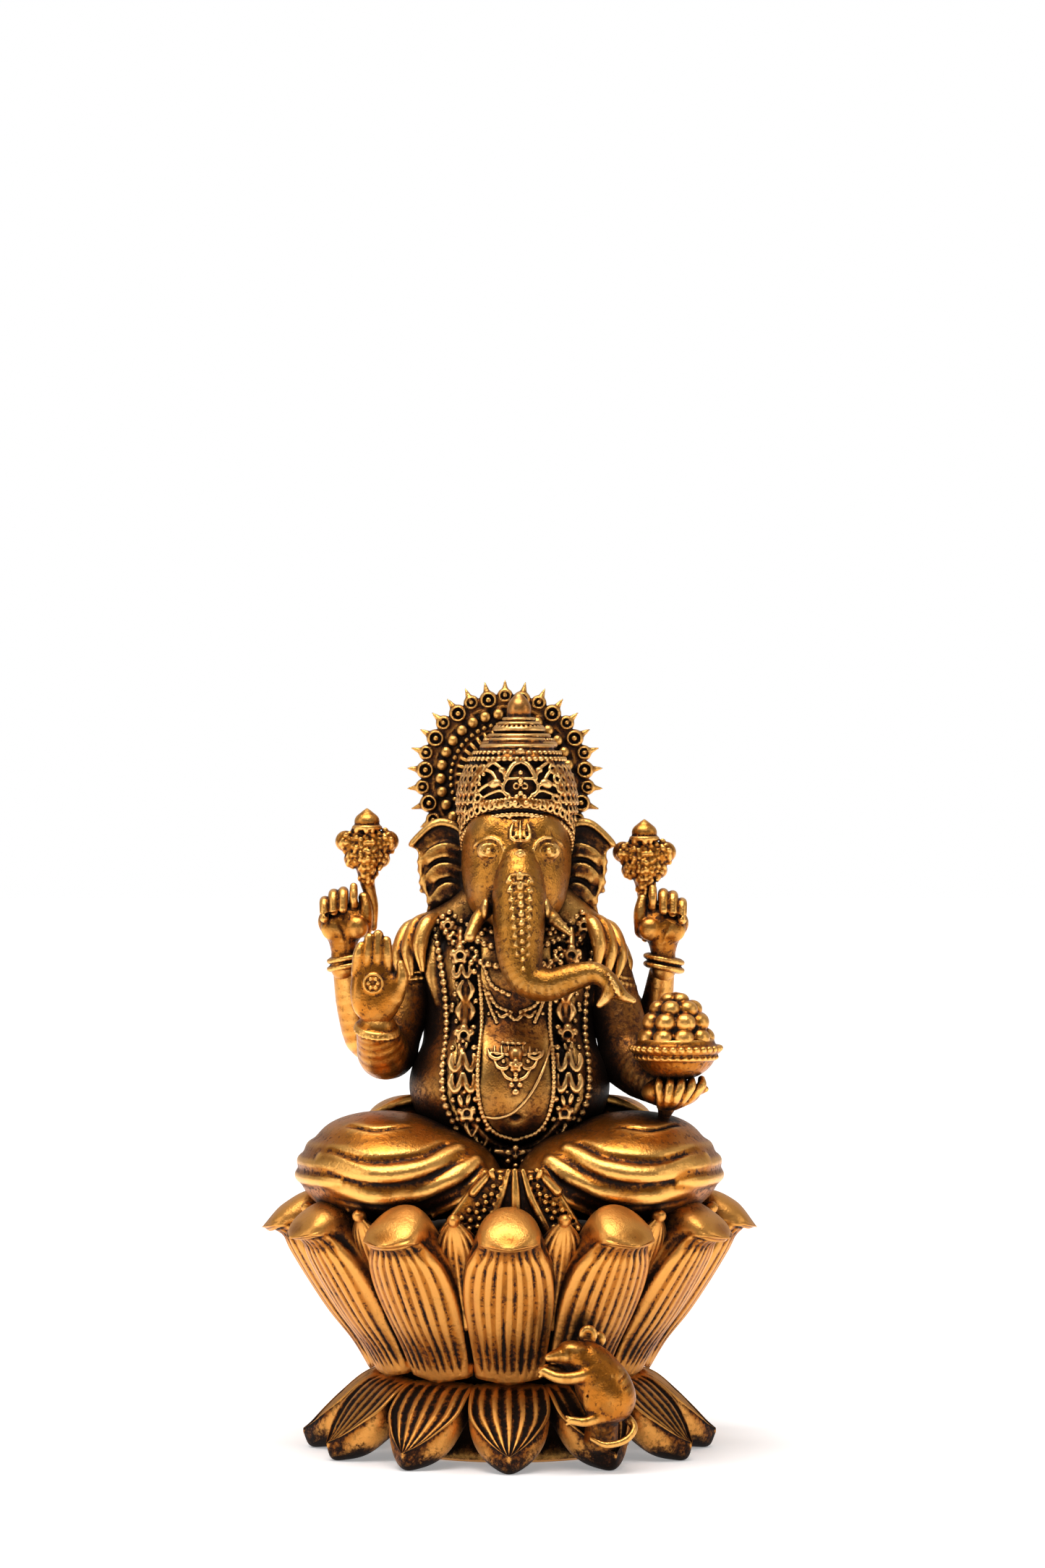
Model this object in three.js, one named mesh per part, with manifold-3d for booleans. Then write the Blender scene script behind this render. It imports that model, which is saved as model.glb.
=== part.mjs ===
// A seated elephant-headed deity on a double lotus, about 98 mm tall: a figurine put together from
// separate castings, with pegs in sockets and a thin glue gap at every joint.
// Millimetres, +Z up. The figure faces -Y, and its own right hand is on the -X side.
import * as THREE from "three";
import { mergeVertices } from "three/addons/utils/BufferGeometryUtils.js";
import Module from "manifold-3d";

const wasm = await Module();
wasm.setup();

// ---------------------------------------------------------------- driving dimensions
const PETALS = 12; // in each row of the lotus
const RIM_RADIUS = 31.4; // tips of the upper petals
const RIM_HEIGHT = 31.6; // crest of the upper petals
const FOOT_RADIUS = 26.2; // tips of the lower petals
const WAIST_HEIGHT = 9.8; // where the two rows meet
const WAIST_RADIUS = 18.4;
const SEAT_HEIGHT = 28; // top of the seed pod that the figure sits on
const SEAT_RADIUS = 22.6;
const TOP = 98.0; // top spike of the halo
const HEAD_X = 1.2; // the head stands a little to the figure's left
const GLUE_GAP = 0.3;

const RIGHT = -1;
const LEFT = 1;

const GOLD = { color: 0xb8863b, roughness: 0.4, metalness: 0.85 };
const BRIGHT_GOLD = { color: 0xc79a4b, roughness: 0.34, metalness: 0.9 };
const DARK_GOLD = { color: 0x7a4f20, roughness: 0.5, metalness: 0.8 };
const LOTUS_GOLD = { color: 0xb57a33, roughness: 0.42, metalness: 0.8 };

const point = (x, y, z) => new THREE.Vector3(x, y, z);

// ---------------------------------------------------------------- solids from three.js geometry
// Merged, with the slivers at the poles dropped, as manifold-3d wants it.
function solidOf(geometry) {
  const bare = new THREE.BufferGeometry().setAttribute("position", geometry.getAttribute("position"));
  if (geometry.index) bare.setIndex(geometry.index);
  const merged = mergeVertices(bare, 1e-4);
  const kept = [];
  for (let i = 0; i < merged.index.count; i += 3) {
    const [a, b, c] = [0, 1, 2].map((k) => merged.index.getX(i + k));
    if (a !== b && b !== c && a !== c) kept.push(a, b, c);
  }
  const build = (triVerts) =>
    new wasm.Manifold(
      new wasm.Mesh({ numProp: 3, vertProperties: merged.attributes.position.array, triVerts }),
    );
  const made = build(new Uint32Array(kept));
  if (made.volume() > 0) return made;
  for (let i = 0; i < kept.length; i += 3) [kept[i], kept[i + 1]] = [kept[i + 1], kept[i]];
  return build(new Uint32Array(kept));
}

function geometryOf(solid) {
  const mesh = solid.getMesh();
  const flat = new Float32Array(mesh.numVert * 3);
  for (let i = 0; i < mesh.numVert; i++) {
    flat.set(mesh.vertProperties.subarray(i * mesh.numProp, i * mesh.numProp + 3), i * 3);
  }
  const geometry = new THREE.BufferGeometry().setAttribute("position", new THREE.BufferAttribute(flat, 3));
  geometry.setIndex(new THREE.BufferAttribute(new Uint32Array(mesh.triVerts), 1));
  geometry.computeVertexNormals();
  return geometry;
}

// A closed skin: place(along, angle) gives a point for along 0 to 1 between its two poles.
function skin(rows, around, place) {
  const geometry = new THREE.SphereGeometry(1, around, rows);
  const uv = geometry.getAttribute("uv");
  const position = geometry.getAttribute("position");
  for (let i = 0; i < position.count; i++) {
    const p = place(1 - uv.getY(i), uv.getX(i) * 2 * Math.PI);
    position.setXYZ(i, p.x, p.y, p.z);
  }
  return solidOf(geometry);
}

// An ellipsoid at centre, tilted by turn (degrees about X, Y and Z).
function ball(centre, radii, turn = [0, 0, 0], segments = [12, 8]) {
  return (grow) => {
    const size = typeof radii === "number" ? [radii, radii, radii] : radii;
    const geometry = new THREE.SphereGeometry(1, ...segments);
    const angles = turn.map(THREE.MathUtils.degToRad);
    const pose = new THREE.Matrix4().compose(
      centre,
      new THREE.Quaternion().setFromEuler(new THREE.Euler(...angles)),
      point(...size.map((r) => r + grow)),
    );
    return solidOf(geometry.applyMatrix4(pose));
  };
}

// A round limb along a smooth curve, with a radius at each of its points.
function limb(points, radii, rows = 9, around = 9) {
  const curve = new THREE.CatmullRomCurve3(points, false, "centripetal");
  const steps = rows - 2;
  const frames = curve.computeFrenetFrames(steps, false);
  const radiusAt = (share) => {
    const s = share * (radii.length - 1);
    const i = Math.min(Math.floor(s), radii.length - 2);
    return THREE.MathUtils.lerp(radii[i], radii[i + 1], s - i);
  };
  return (grow) =>
    skin(rows, around, (along, angle) => {
      const row = Math.round(along * rows);
      const step = THREE.MathUtils.clamp(row - 1, 0, steps);
      const share = step / steps;
      const radius = radiusAt(share) + grow;
      const p = curve.getPoint(share);
      if (row === 0) return p.addScaledVector(frames.tangents[0], -radius * 0.7);
      if (row === rows) return p.addScaledVector(frames.tangents[steps], radius * 0.7);
      return p
        .addScaledVector(frames.normals[step], Math.cos(angle) * radius)
        .addScaledVector(frames.binormals[step], Math.sin(angle) * radius);
    });
}

// A turned piece from [radius, height] pairs, on an upright axis through centre, leaned by lean degrees.
function turned(profile, centre = point(0, 0, 0), segments = 24, lean = 0) {
  return (grow) => {
    const middle = profile.reduce((sum, [, z]) => sum + z, 0) / profile.length;
    const outline = profile.map(
      ([r, z]) => new THREE.Vector2(r === 0 ? 0 : r + grow, z + Math.sign(z - middle) * grow),
    );
    const geometry = new THREE.LatheGeometry(outline, segments);
    geometry.rotateX(Math.PI / 2 + THREE.MathUtils.degToRad(lean));
    geometry.translate(centre.x, centre.y, centre.z);
    return solidOf(geometry);
  };
}

// An outline moved outwards by grow, each corner along the line that splits its two edges.
function widened(points, grow) {
  const turnsLeft = THREE.ShapeUtils.area(points) > 0 ? 1 : -1;
  const outward = (a, b) => new THREE.Vector2(b.y - a.y, a.x - b.x).normalize().multiplyScalar(turnsLeft);
  return points.map((p, i) => {
    const before = outward(points.at(i - 1), p);
    const after = outward(p, points[(i + 1) % points.length]);
    const split = before.clone().add(after).normalize();
    return p.clone().addScaledVector(split, grow / Math.max(0.5, split.dot(before)));
  });
}

// A flat plate from an outline in X and Z, with its middle at depth y.
function plate(outline, y, thickness, curved = false) {
  return (grow) => {
    const points = outline.map(([x, z]) => new THREE.Vector2(x, z));
    const shape = new THREE.Shape();
    if (curved) {
      shape.moveTo(points[0].x, points[0].y);
      shape.splineThru([...points.slice(1), points[0]]);
    }
    const drawn = curved ? shape.getPoints(2).slice(0, -1) : points;
    const depth = thickness + 2 * grow;
    const grown = new THREE.Shape(widened(drawn, grow));
    const geometry = new THREE.ExtrudeGeometry(grown, { depth, bevelEnabled: false });
    geometry.rotateX(Math.PI / 2);
    geometry.translate(0, y + depth / 2, 0);
    return solidOf(geometry);
  };
}

// One solid from several.
const fused = (...pieces) => (grow) => pieces.map((make) => make(grow)).reduce((a, b) => a.add(b));

// ---------------------------------------------------------------- the assembly
const statue = new THREE.Group();
const standing = []; // what each earlier piece takes up, with its glue gap

const boxesMeet = (a, b) => [0, 1, 2].every((i) => a.min[i] <= b.max[i] && b.min[i] <= a.max[i]);

// Adds a casting. It gives way to every piece added before it, so that the earlier one's peg or body
// sits in a socket of its own shape.
function cast(name, make, finish) {
  let solid = make(0);
  for (const earlier of standing) {
    if (boxesMeet(solid.boundingBox(), earlier.boundingBox())) solid = solid.subtract(earlier);
  }
  const whole = solid.decompose().reduce((a, b) => (a.volume() > b.volume() ? a : b));
  const mesh = new THREE.Mesh(geometryOf(whole), new THREE.MeshStandardMaterial(finish));
  mesh.name = name;
  statue.add(mesh);
  standing.push(make(GLUE_GAP));
}

// ---------------------------------------------------------------- lotus base
const turnTo = (degrees) => new THREE.Matrix4().makeRotationZ(THREE.MathUtils.degToRad(degrees));
const smooth = (t) => t * t * (3 - 2 * t);

// A petal is a skin round a spine of [radius, height] points, with a half width and a half thickness.
function petal(spine, halfWidths, halfThicknesses, bearing, rows = 8, around = 8) {
  const path = new THREE.CatmullRomCurve3(spine.map(([r, z]) => point(0, -r, z)));
  const widths = new THREE.CatmullRomCurve3(halfWidths.map((w, i) => point(i, w, 0)));
  const thicknesses = new THREE.CatmullRomCurve3(halfThicknesses.map((w, i) => point(i, w, 0)));
  const round = turnTo(bearing);
  return (grow) =>
    skin(rows, around, (along, angle) => {
      const p = path.getPoint(along);
      const tangent = path.getTangent(along);
      const out = point(0, -tangent.z, tangent.y); // square to the spine, away from the core
      const width = along === 0 || along === 1 ? 0 : widths.getPoint(along).y + grow;
      const thickness = along === 0 || along === 1 ? 0 : thicknesses.getPoint(along).y + grow;
      p.x += Math.cos(angle) * width;
      return p.addScaledVector(out, Math.sin(angle) * thickness).applyMatrix4(round);
    });
}

const PETAL_STEP = 360 / PETALS;
const PETAL_NAMES = Array.from({ length: PETALS }, (_, i) => String(i + 1).padStart(2, "0"));

const core = turned([
  [0, 0],
  [14.6, 0],
  [15.2, 0.8],
  [14.2, 4],
  [14.2, WAIST_HEIGHT],
  [17.2, 16],
  [20.6, 22],
  [21.4, 24.4],
  [0, 24.4],
]);
const seatKey = turned(
  [
    [0, 21],
    [4, 21],
    [4, 26],
    [0, 26],
  ],
  point(0, 0, 0),
  6,
);
const seat = turned([
  [0, 24.7],
  [21.2, 24.7],
  [SEAT_RADIUS, 26],
  [SEAT_RADIUS - 0.8, SEAT_HEIGHT],
  [0, SEAT_HEIGHT],
]);

cast("seat_pod", fused(seat, seatKey), LOTUS_GOLD);
cast("lotus_core", core, LOTUS_GOLD);

const UPPER_SPINE = [
  [WAIST_RADIUS - 2.2, WAIST_HEIGHT + 0.4],
  [19.2, 14.5],
  [22.4, 20.5],
  [25.0, 26.5],
  [27.2, RIM_HEIGHT - 1.4],
  [RIM_RADIUS, RIM_HEIGHT - 2.7],
];
const LOWER_SPINE = [
  [WAIST_RADIUS - 3.6, WAIST_HEIGHT - 0.4],
  [18.6, 7.3],
  [22.2, 4.4],
  [FOOT_RADIUS, 1.3],
];
const INNER_SPINE = [
  [19.2, 17.5],
  [22.3, 22],
  [24.4, 27],
  [25.6, 31],
];

PETAL_NAMES.forEach((number, i) => {
  const widths = [3.6, 5.0, 5.6, 5.4, 4.4, 0];
  const shape = petal(UPPER_SPINE, widths, [0.9, 1.5, 1.7, 2.0, 2.2, 0], i * PETAL_STEP);
  cast(`upper_petal_${number}`, shape, LOTUS_GOLD);
});
PETAL_NAMES.forEach((number, i) => {
  const shape = petal(LOWER_SPINE, [3.4, 4.8, 4.6, 0], [1.4, 2.2, 2.4, 0], i * PETAL_STEP, 7);
  cast(`lower_petal_${number}`, shape, LOTUS_GOLD);
});

// The small petals that show between the upper ones are one casting, on a collar under the seat.
const collar = turned(
  [
    [20.9, 21.6],
    [22.4, 21.9],
    [23.2, 24.6],
    [21.7, 24.4],
    [20.9, 21.6],
  ],
  point(0, 0, 0),
  24,
);
const innerPetals = PETAL_NAMES.map((_, i) =>
  petal(INNER_SPINE, [1.6, 2.3, 2.2, 0], [0.5, 0.8, 0.9, 0], (i + 0.5) * PETAL_STEP, 5, 5),
);
cast("inner_petal_ring", fused(collar, ...innerPetals), LOTUS_GOLD);

// ---------------------------------------------------------------- mouse, on the petal at 30 degrees
const mouse = fused(
  ball(point(11.6, -23.6, 11.2), [3.3, 3.0, 3.7], [0, -25, 0]),
  ball(point(8.2, -24.0, 15.0), [2.9, 2.3, 2.1], [0, 20, 0]),
  ball(point(9.6, -22.8, 17.2), [1.0, 0.6, 1.1]),
  limb([point(11, -24.6, 12.5), point(8.0, -26.2, 12.6), point(5.4, -25.8, 12.4)], [1.1, 0.8, 0.7], 7, 7),
  limb([point(11.4, -24.5, 9.0), point(9.4, -25.6, 7.6), point(7.4, -25.8, 7.8)], [1.4, 1.0, 0.6], 7, 7),
  // Its foot stands on the lower petal, and a stay behind it reaches the upper petals.
  limb([point(11.4, -22.8, 9.6), point(11.3, -22.2, 6.2), point(10.9, -20.6, 2.6)], [2.2, 1.9, 1.9], 7, 7),
  limb([point(10.8, -22.4, 11.4), point(9.8, -20.0, 11.6), point(8.6, -16.4, 12.4)], [1.8, 1.4, 1.4], 7, 7),
);
cast("mouse", mouse, GOLD);

// ---------------------------------------------------------------- lap
// The folded legs under the dhoti: a thigh out to the knee, and a shin back to the middle.
const leg = (side) =>
  fused(
    ball(point(side * 14.2, -4.6, 36.4), [12.4, 12.0, 7.0], [8, side * 6, 0], [16, 10]),
    limb(
      [point(side * 22, -8, 34.2), point(side * 13, -17.0, 32.6), point(side * 4.4, -19.4, 31.8)],
      [4.6, 4.0, 3.2],
    ),
  );
cast("right_leg", leg(RIGHT), GOLD);
cast("left_leg", leg(LEFT), GOLD);

// The back of the dhoti wraps the hips and spreads over the seat behind them.
const hips = fused(
  ball(point(0, 4.4, 37.6), [16.8, 11.0, 8.6], [0, 0, 0], [14, 8]),
  turned(
    [
      [0, SEAT_HEIGHT + 0.4],
      [13.2, SEAT_HEIGHT + 0.4],
      [12.0, SEAT_HEIGHT + 3],
      [8.6, SEAT_HEIGHT + 8],
      [0, SEAT_HEIGHT + 8],
    ],
    point(0, 7.4, 0),
    14,
  ),
);
cast("dhoti_back", hips, GOLD);

// The dhoti's gathered front fans out over the crossed shins.
const pleatFan = plate(
  [
    [-2.6, 37.4],
    [2.6, 37.4],
    [9.4, 29.4],
    [6.0, 28.4],
    [-6.0, 28.4],
    [-9.4, 29.4],
  ],
  -21.0,
  3.4,
);
cast("dhoti_pleats", pleatFan, GOLD);

// ---------------------------------------------------------------- head, before the torso that holds its neck
const EAR_TOP = 80.2;
const skull = ball(point(HEAD_X, -3.4, 74.6), [7.2, 8.0, 8.6], [0, 0, 0], [16, 10]);
const neckPeg = limb([point(HEAD_X, -1, 70), point(0.8, 0, 64), point(0.6, 0, 61)], [4.6, 4.0, 3.6], 6, 8);
cast("head", fused(skull, neckPeg), BRIGHT_GOLD);

const trunk = limb(
  [
    point(HEAD_X + 0.1, -10.6, 76.0),
    point(HEAD_X + 0.1, -13.0, 71.5),
    point(HEAD_X + 0.2, -14.6, 66.0),
    point(HEAD_X + 0.5, -15.4, 61.6),
    point(4.4, -15.8, 59.8),
    point(8.2, -16.0, 60.3),
    point(11.2, -16.2, 60.6),
    point(13.6, -16.4, 58.6),
    point(14.6, -16.4, 57.2),
  ],
  [2.6, 3.4, 3.4, 3.1, 2.5, 2.0, 1.7, 1.4, 1.5],
  18,
  10,
);
cast("trunk", trunk, BRIGHT_GOLD);

const tusk = (side, length) =>
  limb(
    [
      point(HEAD_X + side * 3.6, -7.4, 70.6), // the root, seated in the cheek
      point(HEAD_X + side * 3.9, -10.4, 69.6),
      point(HEAD_X + side * (3.9 + length * 0.35), -12.4, 67.7),
      point(HEAD_X + side * (3.9 + length * 0.62), -13.6, 66.2),
    ],
    [1.0, 1.0, 0.9, side === RIGHT ? 0.85 : 0.35],
    7,
    8,
  );
cast("right_tusk", tusk(RIGHT, 3.6), BRIGHT_GOLD);
cast("left_tusk", tusk(LEFT, 4.4), BRIGHT_GOLD);

const ear = (side) =>
  plate(
    [
      [6.4, EAR_TOP],
      [9.4, EAR_TOP + 0.2],
      [12.2, 78.4],
      [14.2, 76.4],
      [12.2, 75.6],
      [12.4, 72.8],
      [10.9, 69.8],
      [10.0, 67.4],
      [7.4, 68.4],
      [5.6, 71.4],
    ].map(([x, z]) => [HEAD_X * 0.6 + side * x, z]),
    -1.4,
    3.0,
    true,
  );
cast("right_ear", ear(RIGHT), GOLD);
cast("left_ear", ear(LEFT), GOLD);

const CROWN_LEAN = -12;
const crownDome = turned(
  [
    [0, -3.0],
    [8.4, -3.0],
    [8.6, -0.4],
    [8.0, 2.8],
    [6.8, 6.0],
    [5.6, 8.4],
    [0, 8.4],
  ],
  point(HEAD_X, -2.2, 81.2),
  20,
  CROWN_LEAN,
);
cast("crown", crownDome, BRIGHT_GOLD);
const finial = turned(
  [
    [0, 8.8],
    [5.0, 8.8],
    [5.1, 9.9],
    [3.6, 11.6],
    [2.4, 12.2],
    [2.8, 13.6],
    [1.9, 15.0],
    [0, 15.7],
  ],
  point(HEAD_X, -2.2, 81.2),
  16,
  CROWN_LEAN,
);
cast("crown_finial", finial, BRIGHT_GOLD);

// The halo is a disc of small castings in the round, with a spike at its top and a peg into the head.
const HALO_RADIUS = 11.4;
const HALO_CENTRE = point(-0.2, 7.6, 86.0);
const haloDisc = (grow) => {
  const geometry = new THREE.CylinderGeometry(HALO_RADIUS + grow, HALO_RADIUS + grow, 2.2 + 2 * grow, 30);
  geometry.translate(HALO_CENTRE.x, HALO_CENTRE.y, HALO_CENTRE.z);
  return solidOf(geometry);
};
const haloSpike = ball(point(HALO_CENTRE.x, HALO_CENTRE.y, TOP - 1.6), [0.9, 0.9, 1.6], [0, 0, 0], [8, 6]);
const haloFoot = HALO_CENTRE.clone().add(point(0.4, 0, -6));
const haloPeg = limb([haloFoot, point(HEAD_X, 4.2, 77.5)], [1.6, 1.6], 5, 8);
cast("halo", fused(haloDisc, haloSpike, haloPeg), DARK_GOLD);

// ---------------------------------------------------------------- hands and what they hold
// The rear hands hold a beaded bud on a stalk, each between the thumb and the first finger.
const RIGHT_BUD = { x: -18.2, z: 76.0, y: 1.0 };
const LEFT_BUD = { x: 17.2, z: 74.6, y: 1.0 };
const bud = ({ x, y, z }, side) =>
  fused(
    plate(
      [
        [0, 5.0],
        [2.0, 3.0],
        [4.1, 1.2],
        [3.4, -0.9],
        [1.6, -2.8],
        [0.8, -5.6],
        [-0.8, -5.6],
        [-1.6, -2.8],
        [-3.4, -0.9],
        [-4.1, 1.2],
        [-2.0, 3.0],
      ].map(([dx, dz]) => [x + dx, z + dz]),
      y,
      2.4,
    ),
    limb(
      [point(x, y, z - 4.6), point(x - side * 0.3, y, z - 7.6), point(x - side * 0.1, y, z - 10)],
      [0.8, 0.7, 0.6],
      5,
      6,
    ),
  );
cast("right_bud_emblem", bud(RIGHT_BUD, RIGHT), GOLD);
cast("left_bud_emblem", bud(LEFT_BUD, LEFT), GOLD);

const rearHand = (x, z, side) =>
  fused(
    ball(point(x, 0.6, z), [2.7, 1.9, 2.9]),
    ball(point(x + side * 0.5, -0.6, z + 2.4), [2.9, 1.6, 1.7]),
    limb([point(x, 0.8, z - 1.2), point(x, 1.2, z - 4.4)], [2.0, 1.7], 5, 8),
  );
cast("right_rear_hand", rearHand(-20.9, 66.4, RIGHT), GOLD);
cast("left_rear_hand", rearHand(20.0, 66.2, LEFT), GOLD);

const bangle = (centre, radius) => (grow) => {
  const geometry = new THREE.TorusGeometry(radius, 0.75 + grow, 6, 14);
  geometry.translate(centre.x, centre.y, centre.z);
  return solidOf(geometry);
};

// The bowl of sweets, and the hand under it.
const BOWL = point(20.8, -12, 51.6);
const bowl = turned(
  [
    [0, -4.0],
    [2.2, -4.0],
    [4.6, -2.2],
    [5.7, 0.2],
    [4.9, 0.4],
    [0, -1.0],
  ],
  BOWL,
  18,
);
cast("sweet_bowl", bowl, BRIGHT_GOLD);
const sweetHeap = turned(
  [
    [0, -0.6],
    [4.4, 0.7],
    [4.7, 2.6],
    [3.6, 5.0],
    [1.8, 6.5],
    [0, 6.9],
  ],
  BOWL,
  16,
);
cast("sweet_heap", sweetHeap, BRIGHT_GOLD);
// A short strut under the hand rests it on the knee.
const bowlHand = fused(
  ball(point(19.8, -11.4, 46.2), [3.8, 3.4, 1.9], [0, 0, 0], [10, 6]),
  ball(point(21.6, -13.6, 46.8), [2.6, 2.0, 1.6], [20, 0, 0], [8, 6]),
  limb([point(18.2, -9.6, 45.2), point(18.0, -9.2, 40.4)], [1.3, 1.9], 4, 6),
);
cast("left_front_hand", bowlHand, GOLD);

const palm = fused(
  ball(point(-17.3, -12.6, 60.2), [2.9, 1.3, 3.6]),
  ball(point(-17.5, -12.9, 63.8), [2.3, 1.0, 3.0]),
  limb([point(-15.4, -12.4, 59.6), point(-14.5, -13.2, 62.6)], [1.0, 0.7], 5, 7),
  limb([point(-17.2, -11.8, 58.6), point(-17.0, -11.0, 55.8)], [2.0, 2.2], 5, 8),
);
cast("right_front_hand", palm, BRIGHT_GOLD);

// ---------------------------------------------------------------- arms
const SHOULDER = { x: 11.6, y: 0.6, z: 63.6 };
const frontArmRight = limb(
  [
    point(-SHOULDER.x, -1.4, SHOULDER.z - 0.6),
    point(-14.6, -4.2, 55.4),
    point(-16.1, -8.1, 51.0),
    point(-17.0, -10.8, 54.6),
  ],
  [3.2, 3.6, 3.9, 2.7],
  12,
  9,
);
cast("right_front_arm", frontArmRight, GOLD);
const frontArmLeft = limb(
  [
    point(SHOULDER.x, -1.4, SHOULDER.z - 0.6),
    point(14.4, -1.8, 56.4),
    point(15.2, -4.0, 50.0),
    point(17.4, -8.6, 47.0),
  ],
  [3.2, 3.4, 3.6, 2.4],
  11,
  10,
);
cast("left_front_arm", frontArmLeft, DARK_GOLD);

const rearArm = (x, side) =>
  limb(
    [
      point(side * (SHOULDER.x - 1), 4.2, SHOULDER.z - 1.0),
      point(side * 15.6, 4.6, 54.6),
      point(side * 18.2, 3.6, 49.6),
      point(x - side * 0.3, 2.0, 54.6),
      point(x, 1.2, 60.6),
    ],
    [3.0, 2.8, 2.7, 2.5, 1.9],
    11,
    8,
  );
const RIGHT_WRIST_X = -20.6;
const LEFT_WRIST_X = 19.6;
cast("right_rear_bangle", bangle(point(RIGHT_WRIST_X - 0.1, 1.2, 61.6), 2.0), BRIGHT_GOLD);
cast("left_rear_bangle", bangle(point(LEFT_WRIST_X + 0.1, 1.2, 61.4), 2.0), BRIGHT_GOLD);
cast("right_rear_arm", rearArm(RIGHT_WRIST_X, RIGHT), GOLD);
cast("left_rear_arm", rearArm(LEFT_WRIST_X, LEFT), GOLD);

// ---------------------------------------------------------------- chest ornaments, then the torso
// The garland goes down over the chest and round under the belly.
const garlandHalf = (side) => [
  point(side * 7.0, -7.2, 67.0),
  point(side * 6.8, -9.0, 61.0),
  point(side * 6.9, -11.4, 55.0),
  point(side * 7.1, -13.8, 49.0),
  point(side * 5.8, -14.6, 43.0),
];
const garlandPath = [...garlandHalf(RIGHT), point(0, -15.2, 38.4), ...garlandHalf(LEFT).reverse()];
const garland = limb(garlandPath, new Array(garlandPath.length).fill(1.25), 26, 7);
cast("garland", garland, GOLD);

const pendant = plate(
  [
    [-4.0, 54.6],
    [4.0, 54.6],
    [3.0, 52.0],
    [0.9, 49.4],
    [0, 47.2],
    [-0.9, 49.4],
    [-3.0, 52.0],
  ],
  -14.2,
  1.2,
);
cast("pendant", pendant, BRIGHT_GOLD);

// The stole lies over each shoulder in folds and falls down the back.
const stole = (side) =>
  fused(
    limb(
      [point(side * 8.0, -4.4, 66.4), point(side * 11.6, -1.4, 67.0), point(side * 10.4, 4.2, 65.0)],
      [1.5, 2.0, 1.7],
      8,
      8,
    ),
    limb(
      [point(side * 13.2, -3.8, 62.6), point(side * 13.4, -0.4, 65.4), point(side * 11.8, 4.6, 63.4)],
      [1.4, 2.0, 1.6],
      8,
      8,
    ),
  );

const torso = fused(
  ball(point(0, -2.6, 47.0), [12.9, 11.6, 10.8], [0, 0, 0], [14, 10]),
  ball(point(0, 0.2, 59.4), [11.2, 8.4, 8.8], [0, 0, 0], [14, 8]),
);
cast("torso", torso, DARK_GOLD);
cast("right_stole", stole(RIGHT), GOLD);
cast("left_stole", stole(LEFT), GOLD);

export default statue;
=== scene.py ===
"""Looks for a seated elephant-headed deity figurine on a double lotus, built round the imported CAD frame.

Each casting is sculpted in code, in millimetres, where its CAD node stands: as a block of signed
distances ("clay") or as a closed skin. One mesh stands for one node. Beads and other small ornament
are part of the mesh of the casting that carries them.
"""
import math

import bpy
import numpy as np
from mathutils import Euler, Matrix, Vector


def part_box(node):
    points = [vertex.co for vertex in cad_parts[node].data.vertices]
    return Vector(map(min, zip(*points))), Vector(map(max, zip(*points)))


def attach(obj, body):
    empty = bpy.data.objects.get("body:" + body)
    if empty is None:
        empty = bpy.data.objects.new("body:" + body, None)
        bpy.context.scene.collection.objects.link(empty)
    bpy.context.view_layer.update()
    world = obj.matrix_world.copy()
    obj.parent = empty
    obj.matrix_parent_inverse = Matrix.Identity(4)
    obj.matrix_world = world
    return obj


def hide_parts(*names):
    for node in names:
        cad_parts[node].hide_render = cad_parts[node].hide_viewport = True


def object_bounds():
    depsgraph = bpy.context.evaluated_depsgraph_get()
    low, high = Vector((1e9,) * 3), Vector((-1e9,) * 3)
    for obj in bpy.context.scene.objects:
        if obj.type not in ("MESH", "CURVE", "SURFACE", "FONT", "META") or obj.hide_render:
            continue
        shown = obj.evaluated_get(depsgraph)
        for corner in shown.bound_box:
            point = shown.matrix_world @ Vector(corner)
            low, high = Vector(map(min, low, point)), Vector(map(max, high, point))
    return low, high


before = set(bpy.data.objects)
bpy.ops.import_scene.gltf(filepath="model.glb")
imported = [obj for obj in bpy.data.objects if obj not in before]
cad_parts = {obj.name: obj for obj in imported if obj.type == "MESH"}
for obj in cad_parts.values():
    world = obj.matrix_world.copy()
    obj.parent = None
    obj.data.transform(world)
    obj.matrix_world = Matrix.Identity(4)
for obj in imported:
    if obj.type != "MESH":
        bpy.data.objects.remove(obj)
CAD_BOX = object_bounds()

MM = 0.001
F32 = np.float32
FAR = 50.0
RIGHT, LEFT = -1, 1  # the figure's own right hand is on the -X side


def cad(node):
    """Lowest and highest corner of a CAD node, in millimetres."""
    low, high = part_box(node)
    return np.array(low) / MM, np.array(high) / MM


def vec(*xyz):
    return np.array(xyz, float)


# ------------------------------------------------------------------ clay: signed distances in a block


def smooth_min(a, b, k):
    if k <= 0:
        return np.minimum(a, b)
    h = np.clip(0.5 + 0.5 * (b - a) / k, 0, 1)
    return b + (a - b) * h - k * h * (1 - h)


def along_curve(points, count):
    """count points evenly spaced in parameter on a smooth curve through points (Catmull-Rom)."""
    p = np.asarray(points, float)
    p = np.vstack([2 * p[0] - p[1], p, 2 * p[-1] - p[-2]])
    t = np.linspace(0, len(points) - 1, count)
    i = np.minimum(t.astype(int), len(points) - 2)
    u = (t - i)[:, None]
    a, b, c, d = (p[i + k] for k in range(4))
    return 0.5 * (2 * b + (c - a) * u + (2 * a - 5 * b + 4 * c - d) * u**2 + (3 * b - a - 3 * c + d) * u**3)


def loop_curve(points, steps=4):
    """A closed smooth curve through points."""
    points = [tuple(point) for point in points]
    wrapped = points[-2:] + points + points[:3]
    curve = along_curve(wrapped, steps * (len(wrapped) - 1) + 1)
    return curve[2 * steps : (len(points) + 2) * steps]


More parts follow.
